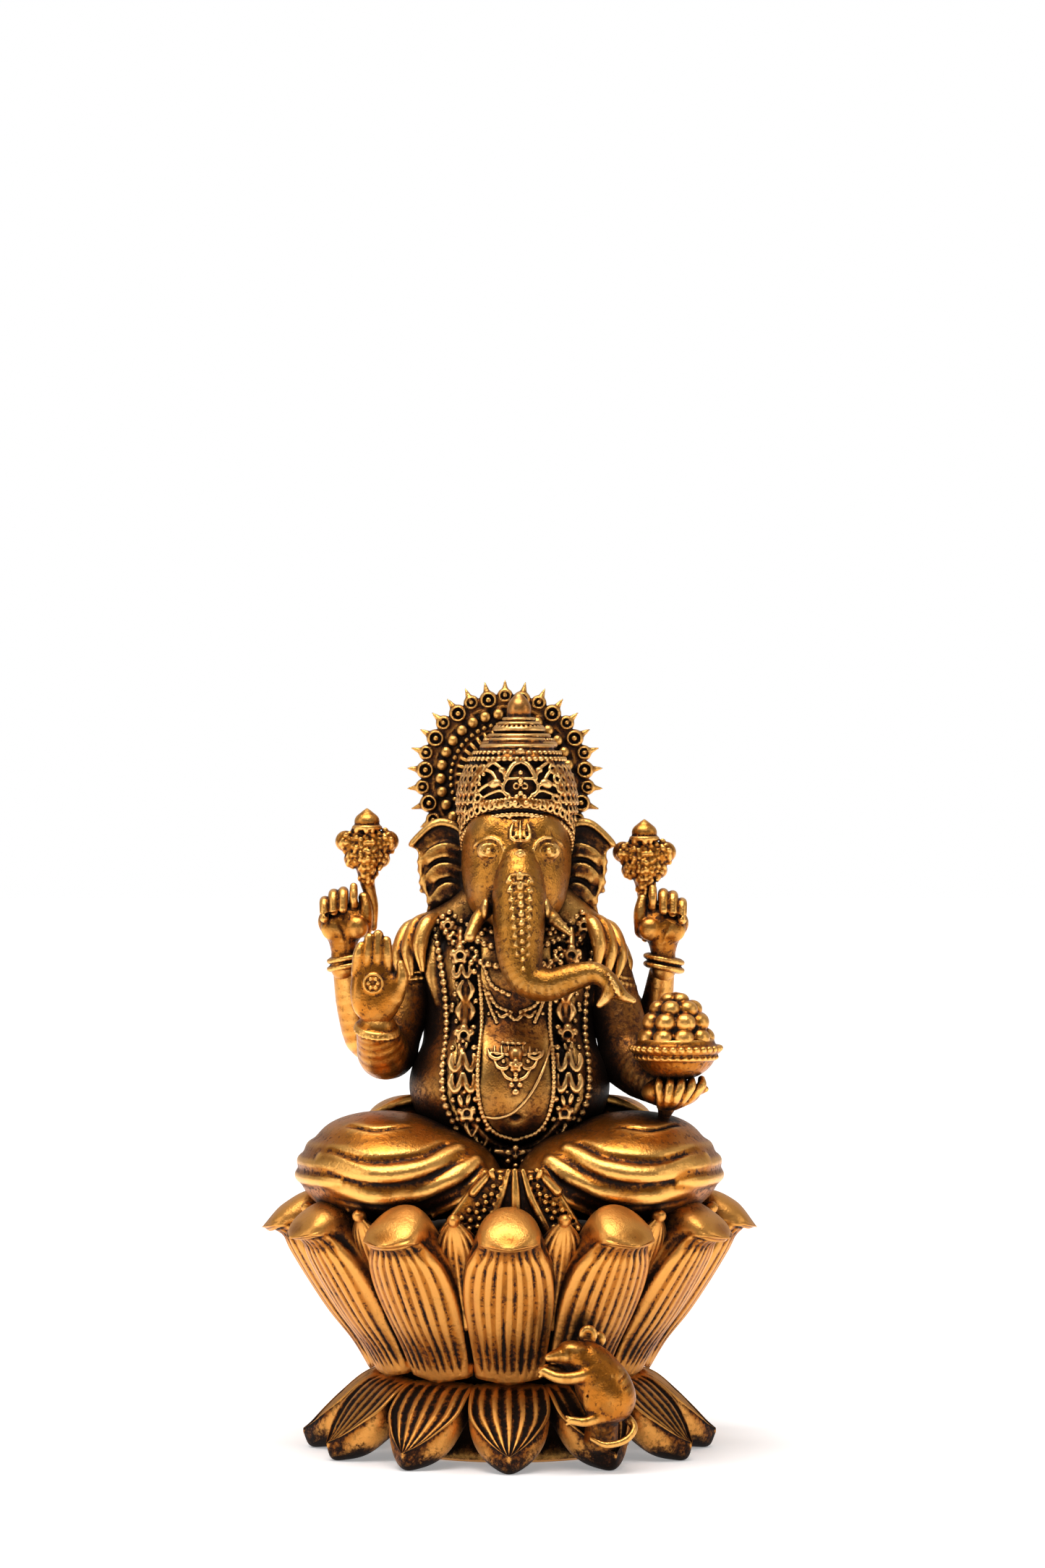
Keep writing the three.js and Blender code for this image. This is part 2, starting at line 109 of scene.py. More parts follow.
def turn_matrix(degrees):
    return np.array(Euler([math.radians(a) for a in degrees]).to_matrix(), float)


class Clay:
    """A block of signed distances in millimetres, negative inside, that shapes are joined to or cut from."""

    def __init__(self, low, high, step):
        self.step = step
        self.low = np.asarray(low, float) - 3 * step
        counts = np.ceil((np.asarray(high, float) + 3 * step - self.low) / step).astype(int) + 1
        self.axes = [(self.low[i] + step * np.arange(counts[i])).astype(F32) for i in range(3)]
        self.field = np.full(counts, FAR, F32)

    def window(self, low, high, pad):
        """The slices of the block that hold low to high and pad round them, and their coordinates."""
        spans = []
        for i in range(3):
            first = int(max(0, math.floor((low[i] - pad - self.low[i]) / self.step)))
            last = int(min(len(self.axes[i]), math.ceil((high[i] + pad - self.low[i]) / self.step) + 1))
            if last <= first:
                return None, None
            spans.append(slice(first, last))
        x, y, z = (self.axes[i][spans[i]] for i in range(3))
        return tuple(spans), (x[:, None, None], y[None, :, None], z[None, None, :])

    def blend(self, spans, d, k, cut):
        old = self.field[spans]
        self.field[spans] = -smooth_min(-old, d, k) if cut else smooth_min(old, d, k)

    def put(self, shape, low, high, k=0.0, cut=False):
        """Joins shape(x, y, z) with a fillet of k, or cuts it away."""
        spans, xyz = self.window(low, high, k + 3 * self.step)
        if spans is not None:
            self.blend(spans, shape(*xyz), k, cut)

    def ball(self, centre, radii, k=0.0, turn=(0, 0, 0), cut=False):
        """An ellipsoid, or nothing if centre is None, as front() says where it misses."""
        if centre is None:
            return
        c = np.asarray(centre, float)
        r = np.full(3, radii, float) if np.isscalar(radii) else np.asarray(radii, float)
        m = turn_matrix(turn)
        reach = np.abs(m) @ r

        def shape(x, y, z):
            p = (x - c[0], y - c[1], z - c[2])
            q = [sum(p[j] * m[j, i] for j in range(3)) for i in range(3)]
            k0 = np.sqrt(sum((q[i] / r[i]) ** 2 for i in range(3)))
            k1 = np.sqrt(sum((q[i] / r[i] ** 2) ** 2 for i in range(3)))
            return (k0 * (k0 - 1) / np.maximum(k1, 1e-6)).astype(F32)

        self.put(shape, c - reach, c + reach, k, cut)

    def limb(self, points, radii, k=0.0, steps=None, cut=False):
        """A round limb along a smooth curve, with a radius at each point."""
        radii = np.full(len(points), radii, float) if np.isscalar(radii) else np.asarray(radii, float)
        steps = steps or max(2, 4 * (len(points) - 1))
        p = along_curve(points, steps + 1)
        r = np.interp(np.linspace(0, len(radii) - 1, steps + 1), np.arange(len(radii)), radii)
        spans, _ = self.window(p.min(0) - r.max(), p.max(0) + r.max(), k + 3 * self.step)
        if spans is None:
            return
        own = np.full(self.field[spans].shape, FAR, F32)
        base = [s.start for s in spans]
        for i in range(steps):
            a, b = p[i], p[i + 1]
            reach = max(r[i], r[i + 1])
            near, grid = self.window(
                np.minimum(a, b) - reach, np.maximum(a, b) + reach, k + 3 * self.step,
            )
            if near is None:
                continue
            x, y, z = grid
            inner = tuple(slice(s.start - o, s.stop - o) for s, o in zip(near, base))
            ba = b - a
            h = ((x - a[0]) * ba[0] + (y - a[1]) * ba[1] + (z - a[2]) * ba[2]) / max(ba @ ba, 1e-9)
            h = np.clip(h, 0, 1)
            dx, dy, dz = x - a[0] - h * ba[0], y - a[1] - h * ba[1], z - a[2] - h * ba[2]
            d = np.sqrt(dx * dx + dy * dy + dz * dz) - (r[i] + (r[i + 1] - r[i]) * h)
            own[inner] = np.minimum(own[inner], d.astype(F32))
        self.blend(spans, own, k, cut)

    def bead(self, centre, radius, k=0.0, cut=False):
        if centre is None:
            return
        c = np.asarray(centre, float)

        def shape(x, y, z):
            return np.sqrt((x - c[0]) ** 2 + (y - c[1]) ** 2 + (z - c[2]) ** 2) - radius

        self.put(shape, c - radius, c + radius, k, cut)

    def slab(self, outline, y, thickness, k=0.0, rounding=0.0, cut=False):
        """A flat plate from an outline in X and Z, its middle at depth y, with rounded edges."""
        p = np.asarray(outline, float)
        q = np.roll(p, -1, axis=0)

        def shape(x, y_, z):
            px, pz = x[:, 0, :], z[0, 0, :][None, :]
            nearest, crossings = np.full(np.broadcast(px, pz).shape, 1e9), 0
            for (ax, az), (bx, bz) in zip(p, q):
                ex, ez = bx - ax, bz - az
                wx, wz = px - ax, pz - az
                t = np.clip((wx * ex + wz * ez) / (ex * ex + ez * ez), 0, 1)
                nearest = np.minimum(nearest, (wx - t * ex) ** 2 + (wz - t * ez) ** 2)
                spans = (az > pz) != (bz > pz)
                crossings = crossings + (spans & (px < ex * (pz - az) / (ez or 1e-9) + ax))
            flat = np.where(crossings % 2 == 1, -1, 1) * np.sqrt(nearest) + rounding
            deep = np.abs(y_ - y) - thickness / 2 + rounding
            out = np.sqrt(np.maximum(flat[:, None, :], 0) ** 2 + np.maximum(deep, 0) ** 2)
            return (out + np.minimum(np.maximum(flat[:, None, :], deep), 0) - rounding).astype(F32)

        low = vec(p[:, 0].min(), y - thickness / 2, p[:, 1].min())
        high = vec(p[:, 0].max(), y + thickness / 2, p[:, 1].max())
        self.put(shape, low, high, k, cut)

    def front(self, x, z, lift=0.0, way=1):
        """The point seen first at x and z from the front (way 1) or the back (way -1), moved out by lift.

        It is None where there is no clay.
        """
        i = int(np.clip(round((x - self.low[0]) / self.step), 0, len(self.axes[0]) - 1))
        j = int(np.clip(round((z - self.low[2]) / self.step), 0, len(self.axes[2]) - 1))
        line = self.field[i, ::way, j]
        inside = np.nonzero(line < 0)[0]
        if not len(inside):
            return None
        first = max(inside[0], 1)
        share = line[first - 1] / max(line[first - 1] - line[first], 1e-6)
        reach = self.step * (first - 1 + min(max(share, 0), 1)) - lift
        return vec(x, self.axes[1][::way][0] + way * reach, z)

    def over(self, points, lift=0.0, way=1):
        """Points (x, z) laid on the front or the back of the clay, less those that miss it."""
        found = [self.front(x, z, lift, way) for x, z in points]
        return [point for point in found if point is not None]

    def ring(self, centre, normal, radius, thickness, k=0.0, cut=False):
        c, n = np.asarray(centre, float), np.asarray(normal, float)
        n = n / np.linalg.norm(n)
        reach = radius * np.sqrt(np.maximum(0, 1 - n**2)) + thickness

        def shape(x, y, z):
            p = (x - c[0], y - c[1], z - c[2])
            up = p[0] * n[0] + p[1] * n[1] + p[2] * n[2]
            flat = np.sqrt(np.maximum(p[0] ** 2 + p[1] ** 2 + p[2] ** 2 - up**2, 0))
            return (np.sqrt((flat - radius) ** 2 + up**2) - thickness).astype(F32)

        self.put(shape, c - reach, c + reach, k, cut)

    def skin(self):
        """The surface of the clay as points in millimetres and quads."""
        return surface_nets(self.field, self.low, self.step)


def surface_nets(field, low, step):
    """Points and quads on the zero level of a block of signed distances (naive surface nets)."""
    inside = field < 0
    shape = np.array(field.shape) - 1
    count = np.zeros(shape, np.int8)
    for i, j, k in np.ndindex(2, 2, 2):
        count += inside[i : i + shape[0], j : j + shape[1], k : k + shape[2]]
    cells = np.argwhere((count > 0) & (count < 8))
    number = np.full(shape, -1, np.int32)
    number[tuple(cells.T)] = np.arange(len(cells))
    total, hits = np.zeros((len(cells), 3)), np.zeros(len(cells))
    for axis in range(3):
        for u, v in np.ndindex(2, 2):
            a = np.zeros(3, int)
            a[[i for i in range(3) if i != axis]] = (u, v)
            b = a.copy()
            b[axis] = 1
            fa, fb = field[tuple((cells + a).T)], field[tuple((cells + b).T)]
            crossing = (fa < 0) != (fb < 0)
            t = np.where(crossing, fa / np.where(crossing, fa - fb, 1), 0)
            total += crossing[:, None] * (a + t[:, None] * (b - a))
            hits += crossing
    verts = low + step * (cells + total / hits[:, None])
    quads = []
    for axis in range(3):
        one, two = [i for i in range(3) if i != axis]
        first = [slice(1, -1)] * 3
        first[axis] = slice(0, -1)
        second = list(first)
        second[axis] = slice(1, None)
        crossed = np.argwhere(inside[tuple(first)] != inside[tuple(second)])
        crossed[:, [one, two]] += 1
        ring = []
        for du, dv in ((0, 0), (1, 0), (1, 1), (0, 1)):
            cell = crossed.copy()
            cell[:, one] -= du
            cell[:, two] -= dv
            ring.append(number[tuple(cell.T)])
        ring = np.stack(ring, 1)
        entering = inside[tuple(crossed.T)] == (axis == 1)
        ring[entering] = ring[entering][:, ::-1]
        quads.append(ring)
    return verts, np.concatenate(quads)


# ------------------------------------------------------------------ skins and meshes


def neighbour_mean(verts, edges):
    total = np.zeros_like(verts)
    for i in range(3):
        total[:, i] = np.bincount(edges[:, 0], verts[edges[:, 1], i], len(verts))
        total[:, i] += np.bincount(edges[:, 1], verts[edges[:, 0], i], len(verts))
    count = np.bincount(edges.ravel(), minlength=len(verts))
    return total / np.maximum(count, 1)[:, None]


def edges_of(faces):
    pairs = np.concatenate([np.stack([faces[:, i - 1], faces[:, i]], 1) for i in range(faces.shape[1])])
    return np.unique(np.sort(pairs, 1), axis=0)


def joined(*skins):
    """One skin from several."""
    verts, faces, start = [], [], 0
    for v, f in skins:
        verts.append(v)
        faces.append(f + start)
        start += len(v)
    return np.concatenate(verts), np.concatenate(faces)


def normals_of(verts, faces):
    a, b = verts[faces[:, 2]] - verts[faces[:, 0]], verts[faces[:, 3]] - verts[faces[:, 1]]
    flat = np.cross(a, b)
    out = np.zeros_like(verts)
    for i in range(3):
        out[:, i] = np.bincount(faces.ravel(), np.repeat(flat[:, i], 4), len(verts))
    return out / np.maximum(np.linalg.norm(out, axis=1), 1e-12)[:, None]


RELIEF_ROUNDS = 14


def relief_of(verts, faces):
    """How far each point stands above (+) or below (-) the surface round it, in millimetres."""
    edges = edges_of(faces)
    flat = verts
    for _ in range(RELIEF_ROUNDS):
        flat = flat + 0.7 * (neighbour_mean(flat, edges) - flat)
    return ((verts - flat) * normals_of(verts, faces)).sum(1)


def publish(name, skin, material, node=None):
    """Makes a mesh object from a skin, gives it its looks, and lets it stand for its CAD node."""
    verts, faces = skin
    node = node or name
    mesh = bpy.data.meshes.new(name)
    mesh.vertices.add(len(verts))
    mesh.vertices.foreach_set("co", (verts * MM).astype(F32).ravel())
    mesh.loops.add(faces.size)
    mesh.loops.foreach_set("vertex_index", faces.astype(np.int32).ravel())
    mesh.polygons.add(len(faces))
    mesh.polygons.foreach_set("loop_start", np.arange(0, faces.size, 4, dtype=np.int32))
    mesh.polygons.foreach_set("loop_total", np.full(len(faces), 4, np.int32))
    mesh.polygons.foreach_set("use_smooth", np.ones(len(faces), bool))
    mesh.update(calc_edges=True)
    mesh.attributes.new("relief", "FLOAT", "POINT").data.foreach_set(
        "value", relief_of(verts, faces).astype(F32),
    )
    piece = bpy.data.objects.new("looks_" + name, mesh)
    bpy.context.scene.collection.objects.link(piece)
    mesh.materials.append(material)
    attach(piece, "root")
    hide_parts(node)
    return piece


# ------------------------------------------------------------------ materials: gilded resin with a dark wash and painted shade


class Nodes:
    """Short calls for the shader nodes that the looks are made of."""

    def __init__(self, material):
        self.tree = material.node_tree
        self.tree.nodes.clear()

    def new(self, kind, **settings):
        node = self.tree.nodes.new("ShaderNode" + kind)
        for key, value in settings.items():
            setattr(node, key, value)
        return node

    def feed(self, socket, value):
        if isinstance(value, bpy.types.NodeSocket):
            self.tree.links.new(value, socket)
        else:
            socket.default_value = value

    def math(self, operation, a, b=0.0, clamp=False):
        node = self.new("Math", operation=operation, use_clamp=clamp)
        self.feed(node.inputs[0], a)
        self.feed(node.inputs[1], b)
        return node.outputs[0]

    def span(self, value, low, high, to_low=0.0, to_high=1.0):
        """value from low..high to to_low..to_high, with soft ends."""
        node = self.new("MapRange", interpolation_type="SMOOTHSTEP")
        for socket, item in zip(node.inputs, (value, low, high, to_low, to_high)):
            self.feed(socket, item)
        return node.outputs[0]

    def mix(self, share, a, b):
        node = self.new("Mix", data_type="RGBA")
        self.feed(node.inputs[0], share)
        self.feed(node.inputs[6], a)
        self.feed(node.inputs[7], b)
        return node.outputs[2]

    def noise(self, place, size, detail=3.0, roughness=0.55):
        """Noise whose features are about size millimetres across."""
        node = self.new("TexNoise")
        self.feed(node.inputs["Vector"], place)
        self.feed(node.inputs["Scale"], 1 / (size * MM))
        self.feed(node.inputs["Detail"], detail)
        self.feed(node.inputs["Roughness"], roughness)
        return node.outputs[0]

    def shift(self, place, offset):
        node = self.new("VectorMath", operation="ADD")
        self.feed(node.inputs[0], place)
        node.inputs[1].default_value = offset
        return node.outputs[0]


# Dark colours of the wash in hollows, also used for painted shade; COPPER also tints painted shade.
BLACK = (0.010, 0.005, 0.003, 1)
UMBER = (0.085, 0.024, 0.007, 1)
COPPER = (0.33, 0.088, 0.016, 1)


def shade_of(colour, share):
    return tuple(share * c for c in colour[:3]) + (1,)


def closeness(n, reach):
    """How much of the view is blocked within reach millimetres: 0 in the open, 1 deep in a hole."""
    near = n.new("AmbientOcclusion", samples=4, only_local=False)
    near.inputs["Distance"].default_value = reach * MM
    return n.math("SUBTRACT", 1.0, near.outputs["AO"])


def total(n, *terms):
    """The sum of (value, weight, zero) terms: each is weight times the value less its zero."""
    result = None
    for value, weight, zero in terms:
        term = n.math("MULTIPLY", n.math("SUBTRACT", value, zero), weight)
        result = term if result is None else n.math("ADD", result, term)
    return result


class Readings:
    """What the looks are worked out from: the shape round a point, and noise of several sizes there."""

    def __init__(self, n):
        self.place = n.new("TexCoord").outputs["Object"]
        height = n.new("Attribute", attribute_name="relief").outputs["Fac"]
        self.relief = n.math("MULTIPLY", height, 10.0)
        self.broad = n.noise(self.place, 9.0, 2.0)
        self.patches = n.noise(n.shift(self.place, (0.3, 0.1, 0.2)), 2.4, 5.0, 0.65)
        self.specks = n.noise(n.shift(self.place, (0.1, 0.5, 0.3)), 0.6, 3.0, 0.6)
        self.fine = n.noise(n.shift(self.place, (0.7, 0.2, 0.9)), 0.2, 2.0, 0.5)
        self.crevice = closeness(n, 3.6)
        # how closely other surfaces stand within 15 mm, used to paint shade
        self.shade_from_neighbours = closeness(n, 15.0)


def wash_and_shade_of(n, at, wash, shade, low):
    """How dark a point is: the wash in its hollows, painted shade where other pieces stand close, and darker
    towards the foot.
    """
    terms = [
        (at.relief, -0.55, 0.0),
        (at.crevice, 1.25, 0.0),
        # painted shade: darker wherever other pieces stand close
        (at.shade_from_neighbours, shade, 0.12),
        (at.patches, 0.9, 0.5),
        (at.specks, 1.3, 0.5),
        (at.fine, 0.5, 0.5),
        (at.broad, 0.8 * wash, 0.45),
    ]
    # darker towards the foot of the figure
    if low:
        height = n.new("SeparateXYZ")
        n.feed(height.inputs[0], at.place)
        terms.append((n.span(height.outputs[2], 24 * MM, 4 * MM), low, 0.0))
    return total(n, *terms)


def spots_of(n, at, wash_and_shade, speckle):
    """Small dark specks, more of them where the wash and the painted shade are dark, and few on raised edges.
    """
    dots = total(n, (at.specks, 1.0, 0.0), (wash_and_shade, 0.16, 0.0))
    spots = n.span(dots, 0.645 - 0.1 * speckle, 0.685 - 0.1 * speckle)
    return n.math("MULTIPLY", spots, n.span(at.relief, 0.7, -0.2, 0.15, 1.0))


def aged(n, at, gold, speckle, copper, warm):
    """The gold before the wash: uneven, darker in patches, and reddish where it has worn and in painted
    shade.
    """
    tone = n.mix(n.span(at.broad, 0.35, 0.7), gold, shade_of(gold, 0.72))
    patched = n.math("MULTIPLY", n.span(at.patches, 0.5, 0.62), 0.3 + 0.3 * speckle)
    tone = n.mix(patched, tone, shade_of(gold, 0.38))
    # copper tint where the wash and the painted shade begin
    tone = n.mix(n.math("MULTIPLY", warm, 0.4 + 0.4 * copper), tone, COPPER)
    if copper:
        # wear from noise and relief, plus painted shade: more reddish brown where other pieces stand close
        wear_and_shade = total(n, (at.patches, 1.0, 0.0), (at.relief, -0.12, 0.0), (at.shade_from_neighbours, 0.5, 0.2))
        worn_and_shaded = n.math("MULTIPLY", n.span(wear_and_shade, 0.44, 0.6), copper)
        tone = n.mix(worn_and_shaded, tone, shade_of(COPPER, 0.8))
    return tone


def grained(n, at, grain):
    """The fine roughness of the paint, as a bumped normal."""
    bump = n.new("Bump")
    bump.inputs["Strength"].default_value = 0.8
    bump.inputs["Distance"].default_value = 0.07 * MM
    height = total(n, (at.fine, 0.6 * grain, 0.0), (at.specks, 1.1 * grain, 0.0))
    n.feed(bump.inputs["Height"], height)
    return bump.outputs[0]


def gilding(
    name, gold, bright, wash=0.5, speckle=0.5, copper=0.0, grain=0.5, roughness=0.36, shade=0.5, low=0.0
):
    """Metallic paint over cast resin: bright where it is rubbed, brown to black where the wash stayed and in
    painted shade.

    wash is how much dark stays in the hollows, shade how much painted shade darkens it wherever other pieces
    stand close, speckle how many dark specks there are, copper how far the gold turns reddish brown where it
    has worn and in painted shade, grain how coarse the paint looks, and low how much darker it gets towards
    the foot of the figure.
    """
    material = bpy.data.materials.new(name)
    material.use_nodes = True
    n = Nodes(material)
    at = Readings(n)
    # the wash in hollows together with painted shade from nearby pieces
    wash_and_shade = wash_and_shade_of(n, at, wash, shade, low)
    edge = 0.92 - 0.48 * wash
    warm = n.span(wash_and_shade, edge - 0.45, edge - 0.05)
    brown = n.span(wash_and_shade, edge - 0.14, edge + 0.04)
    black = n.span(wash_and_shade, edge + 0.04, edge + 0.24)
    spots = spots_of(n, at, wash_and_shade, speckle)
    raised = total(n, (at.relief, 1.0, 0.0), (at.patches, 0.6, 0.5), (at.crevice, -0.6, 0.0))
    rubbed = n.span(raised, 0.12, 0.9)

    tone = aged(n, at, gold, speckle, copper, warm)
    tone = n.mix(n.math("MULTIPLY", rubbed, 0.85), tone, bright)
    tone = n.mix(n.math("MULTIPLY", spots, 0.85), tone, shade_of(UMBER, 0.6))
    tone = n.mix(brown, tone, UMBER)
    tone = n.mix(black, tone, BLACK)
    dull = n.math("MAXIMUM", brown, n.math("MULTIPLY", spots, 0.6))

    shader = n.new("BsdfPrincipled")
    n.feed(shader.inputs["Base Color"], tone)
    n.feed(shader.inputs["Metallic"], n.math("SUBTRACT", 0.97, n.math("MULTIPLY", dull, 0.4)))
    gloss = total(n, (dull, 0.22, 0.0), (at.fine, 0.2, 0.5))
    n.feed(shader.inputs["Roughness"], n.math("ADD", roughness, gloss))
    n.feed(shader.inputs["Normal"], grained(n, at, grain))
    shader.inputs["Specular IOR Level"].default_value = 0.2
    n.feed(n.new("OutputMaterial").inputs[0], shader.outputs[0])
    return material


LOTUS = gilding(
    "lotus_gold", (0.45, 0.15, 0.019, 1), (0.76, 0.35, 0.08, 1),
    wash=1.0, speckle=0.8, grain=0.9, roughness=0.4, shade=0.6, low=0.3,
)
ANTIQUE = gilding(
    "antique_gold", (0.47, 0.158, 0.018, 1), (0.93, 0.48, 0.12, 1),
    wash=0.8, speckle=0.62, grain=0.9, roughness=0.33, shade=0.58,
)
BRASSY = gilding(
    "brassy_gold", (0.47, 0.19, 0.028, 1), (0.9, 0.5, 0.15, 1),
    wash=0.68, speckle=0.5, grain=1.3, roughness=0.33, shade=0.6,
)
JEWEL = gilding(
    "jewel_gold", (0.42, 0.138, 0.021, 1), (0.98, 0.57, 0.2, 1),
    wash=1.2, speckle=0.4, roughness=0.34, shade=0.75,
)
BRONZED = gilding(
    "bronzed_gold", (0.42, 0.17, 0.03, 1), (0.8, 0.42, 0.11, 1),
    wash=1.08, speckle=1.0, copper=0.7, grain=1.2, shade=1.4,
)


# ------------------------------------------------------------------ lotus

PETALS = 12


def turned_about_axis(skin, degrees):
    verts, faces = skin
    c, s = math.cos(math.radians(degrees)), math.sin(math.radians(degrees))
    x, y = verts[:, 0] * c - verts[:, 1] * s, verts[:, 0] * s + verts[:, 1] * c
    return np.stack([x, y, verts[:, 2]], 1), faces


def leaf(under, edge, over, widths, rows, columns, relief_under=None, relief_over=None, fullness=1.0):
    """A petal as a closed skin, pointing to -Y. under, edge and over are lines of (radius, height) from its
    root to its tip: the middle of its lower face, its two edges, and the middle of its upper face. The relief
    of a face is a function of share along and share across (-1 to 1), in millimetres.
    """
    v = np.linspace(0, 1, rows + 1)[:, None]
    angle = np.linspace(-math.pi / 2, math.pi / 2, columns + 1)[None, :]
    u = np.sin(angle)
    crown = np.cos(angle) ** fullness

    def line(points):
        return along_curve([(r, z, 0) for r, z in points], rows + 1)

    width = along_curve([(w, 0, 0) for w in widths], rows + 1)[:, :1]
    width[0] = width[-1] = 0
    low, rim, top = line(under), line(edge), line(over)

    def face(centre, relief, facing):
        flat = rim[:, None, :] + (centre - rim)[:, None, :] * crown[:, :, None]
        grid = np.stack([width * u, -flat[:, :, 0], flat[:, :, 1]], -1)
        if relief is not None:
            across = np.gradient(grid, axis=1)
            along = np.gradient(grid, axis=0)
            normal = facing * np.cross(across, along)
            normal /= np.maximum(np.linalg.norm(normal, axis=2), 1e-9)[:, :, None]
            grid = grid + normal * relief(v, u)[:, :, None]
        return grid

    lower, upper = face(low, relief_under, 1), face(top, relief_over, -1)
    loops = np.concatenate([lower[1:-1], upper[1:-1, -2:0:-1]], 1)
    count = loops.shape[1]
    verts = np.concatenate([loops.reshape(-1, 3), lower[:1, columns // 2], lower[-1:, columns // 2]])
    i, j = np.meshgrid(np.arange(rows - 2), np.arange(count), indexing="ij")
    k = (j + 1) % count
    quads = np.stack(
        [i * count + j, i * count + k, (i + 1) * count + k, (i + 1) * count + j], -1,
    ).reshape(-1, 4)
    root, tip = len(verts) - 2, len(verts) - 1
    last = (rows - 2) * count
    ends = []
    for a in range(0, count, 2):
        b, c = (a + 1) % count, (a + 2) % count
        ends.append([root, c, b, a])
        ends.append([tip, last + a, last + b, last + c])
    return verts, np.concatenate([quads, np.array(ends)])


def ribs(count, depth, phase=0.0, wander=0.02):
    """Rounded ribs with narrow grooves between them, lengthways on a petal."""

    def relief(v, u):
        bend = u + wander * np.sin(9 * v + phase + 3 * u)
        wave = np.abs(np.cos(math.pi * count * bend / 2)) ** 0.6
        fade = np.clip(v / 0.06, 0, 1) * np.clip((0.86 - v) / 0.12, 0, 1)
        return -depth * (1 - wave) * fade * (1 + 0.25 * np.sin(5 * u + 7 * v + phase))

    return relief


def rim_line(at, width, height):
    """A raised line along both edges of a petal."""
    return lambda v, u: height * np.exp(-(((np.abs(u) - at) / width) ** 2)) * np.clip(v / 0.1, 0, 1)


def both(*reliefs):
    return lambda v, u: sum(relief(v, u) for relief in reliefs)


def upper_petals():
    low, high = cad("upper_petal_01")
    tip, root, crest = -low[1], low[2], high[2]

    def hood(v, u):
        """The V notch and the lip under the cap, on the lower face."""
        notch = np.exp(-(((v - 0.865 + 0.075 * np.abs(u)) / 0.022) ** 2))
        lip = np.exp(-(((v - 0.915 + 0.1 * np.abs(u)) / 0.03) ** 2))
        return 0.32 * lip * (1 - np.abs(u) ** 4) - 0.42 * notch * (1 - np.abs(u) ** 6)

    for i in range(PETALS):
        sway = math.sin(2.7 * i)
        skin = leaf(
            under=[
                (tip - 13.6, root - 0.2),
                (tip - 11.3, root + 3.6),
                (tip - 8.4, root + 7.2),
                (tip - 5.6, root + 11.4),
                (tip - 3.4, root + 15.0),
                (tip - 2.5, root + 16.8),
                (tip - 1.2, root + 17.7 + 0.2 * sway),
                (tip + 0.2, root + 17.8),
            ],
            edge=[
                (tip - 15.2, root + 0.4),
                (tip - 13.6, root + 4.2),
                (tip - 11.4, root + 8.2),
                (tip - 8.9, root + 12.2),
                (tip - 6.7, root + 15.8),
                (tip - 4.9, root + 18.2),
                (tip - 2.4, root + 18.8),
                (tip + 0.2, root + 17.8),
            ],
            over=[
                (tip - 16.0, root + 0.6),
                (tip - 14.9, root + 5.0),
                (tip - 13.3, root + 9.4),
                (tip - 11.4, root + 13.6),
                (tip - 9.6, root + 18.6),
                (tip - 6.6, crest + 1.1),
                (tip - 2.6, crest - 0.4 + 0.2 * sway),
                (tip + 0.2, root + 17.8),
            ],
            widths=[4.2, 4.5, 4.8, 5.1, 5.4, 5.65, 5.75, 5.6, 5.2, 4.5, 4.0, 3.85, 3.6, 2.7, 0],
            rows=56,
            columns=48,
            relief_under=both(ribs(9, 0.27, phase=i), rim_line(0.95, 0.05, 0.16), hood),
            fullness=0.9,
        )
        publish(f"upper_petal_{i + 1:02d}", turned_about_axis(skin, i * 360 / PETALS), LOTUS)


def lower_petals():
    low, high = cad("lower_petal_01")
    tip, root = -low[1], high[2]

    def veins(v, u):
        """Raised veins that run together at the tip, in a shallow dish."""
        wave = np.abs(np.sin(math.pi * 3 * (u + 0.02 * np.sin(8 * v)))) ** 0.7
        fade = np.clip(v / 0.1, 0, 1) * np.clip((0.97 - v) / 0.2, 0, 1)
        return (0.34 * (1 - wave) - 0.3) * fade * (1 - np.abs(u) ** 8)

    for i in range(PETALS):
        skin = leaf(
            under=[
                (tip - 12.5, root - 5.2),
                (tip - 8.5, 2.6),
                (tip - 5.0, 0.5),
                (tip - 2.2, 0.02),
                (tip - 0.7, 0.25),
                (tip + 0.1, 1.9),
            ],
            edge=[
                (tip - 10.6, root - 0.2),
                (tip - 7.6, root - 1.4),
                (tip - 4.9, root - 3.6),
                (tip - 2.6, root - 5.6),
                (tip - 1.0, root - 7.1),
                (tip + 0.1, root - 8.0),
            ],
            over=[
                (tip - 10.2, root + 0.3),
                (tip - 7.4, root - 1.0),
                (tip - 4.7, root - 3.3),
                (tip - 2.5, root - 5.5),
                (tip - 1.0, root - 7.1),
                (tip + 0.1, root - 8.0),
            ],
            widths=[4.2, 4.9, 4.9, 3.3, 1.5, 0],
            rows=36,
            columns=36,
            relief_over=both(veins, rim_line(0.93, 0.06, 0.24)),
            fullness=0.8,
        )
        publish(f"lower_petal_{i + 1:02d}", turned_about_axis(skin, i * 360 / PETALS), LOTUS)


upper_petals()
lower_petals()

p = vec  # a point in the frame's own millimetres


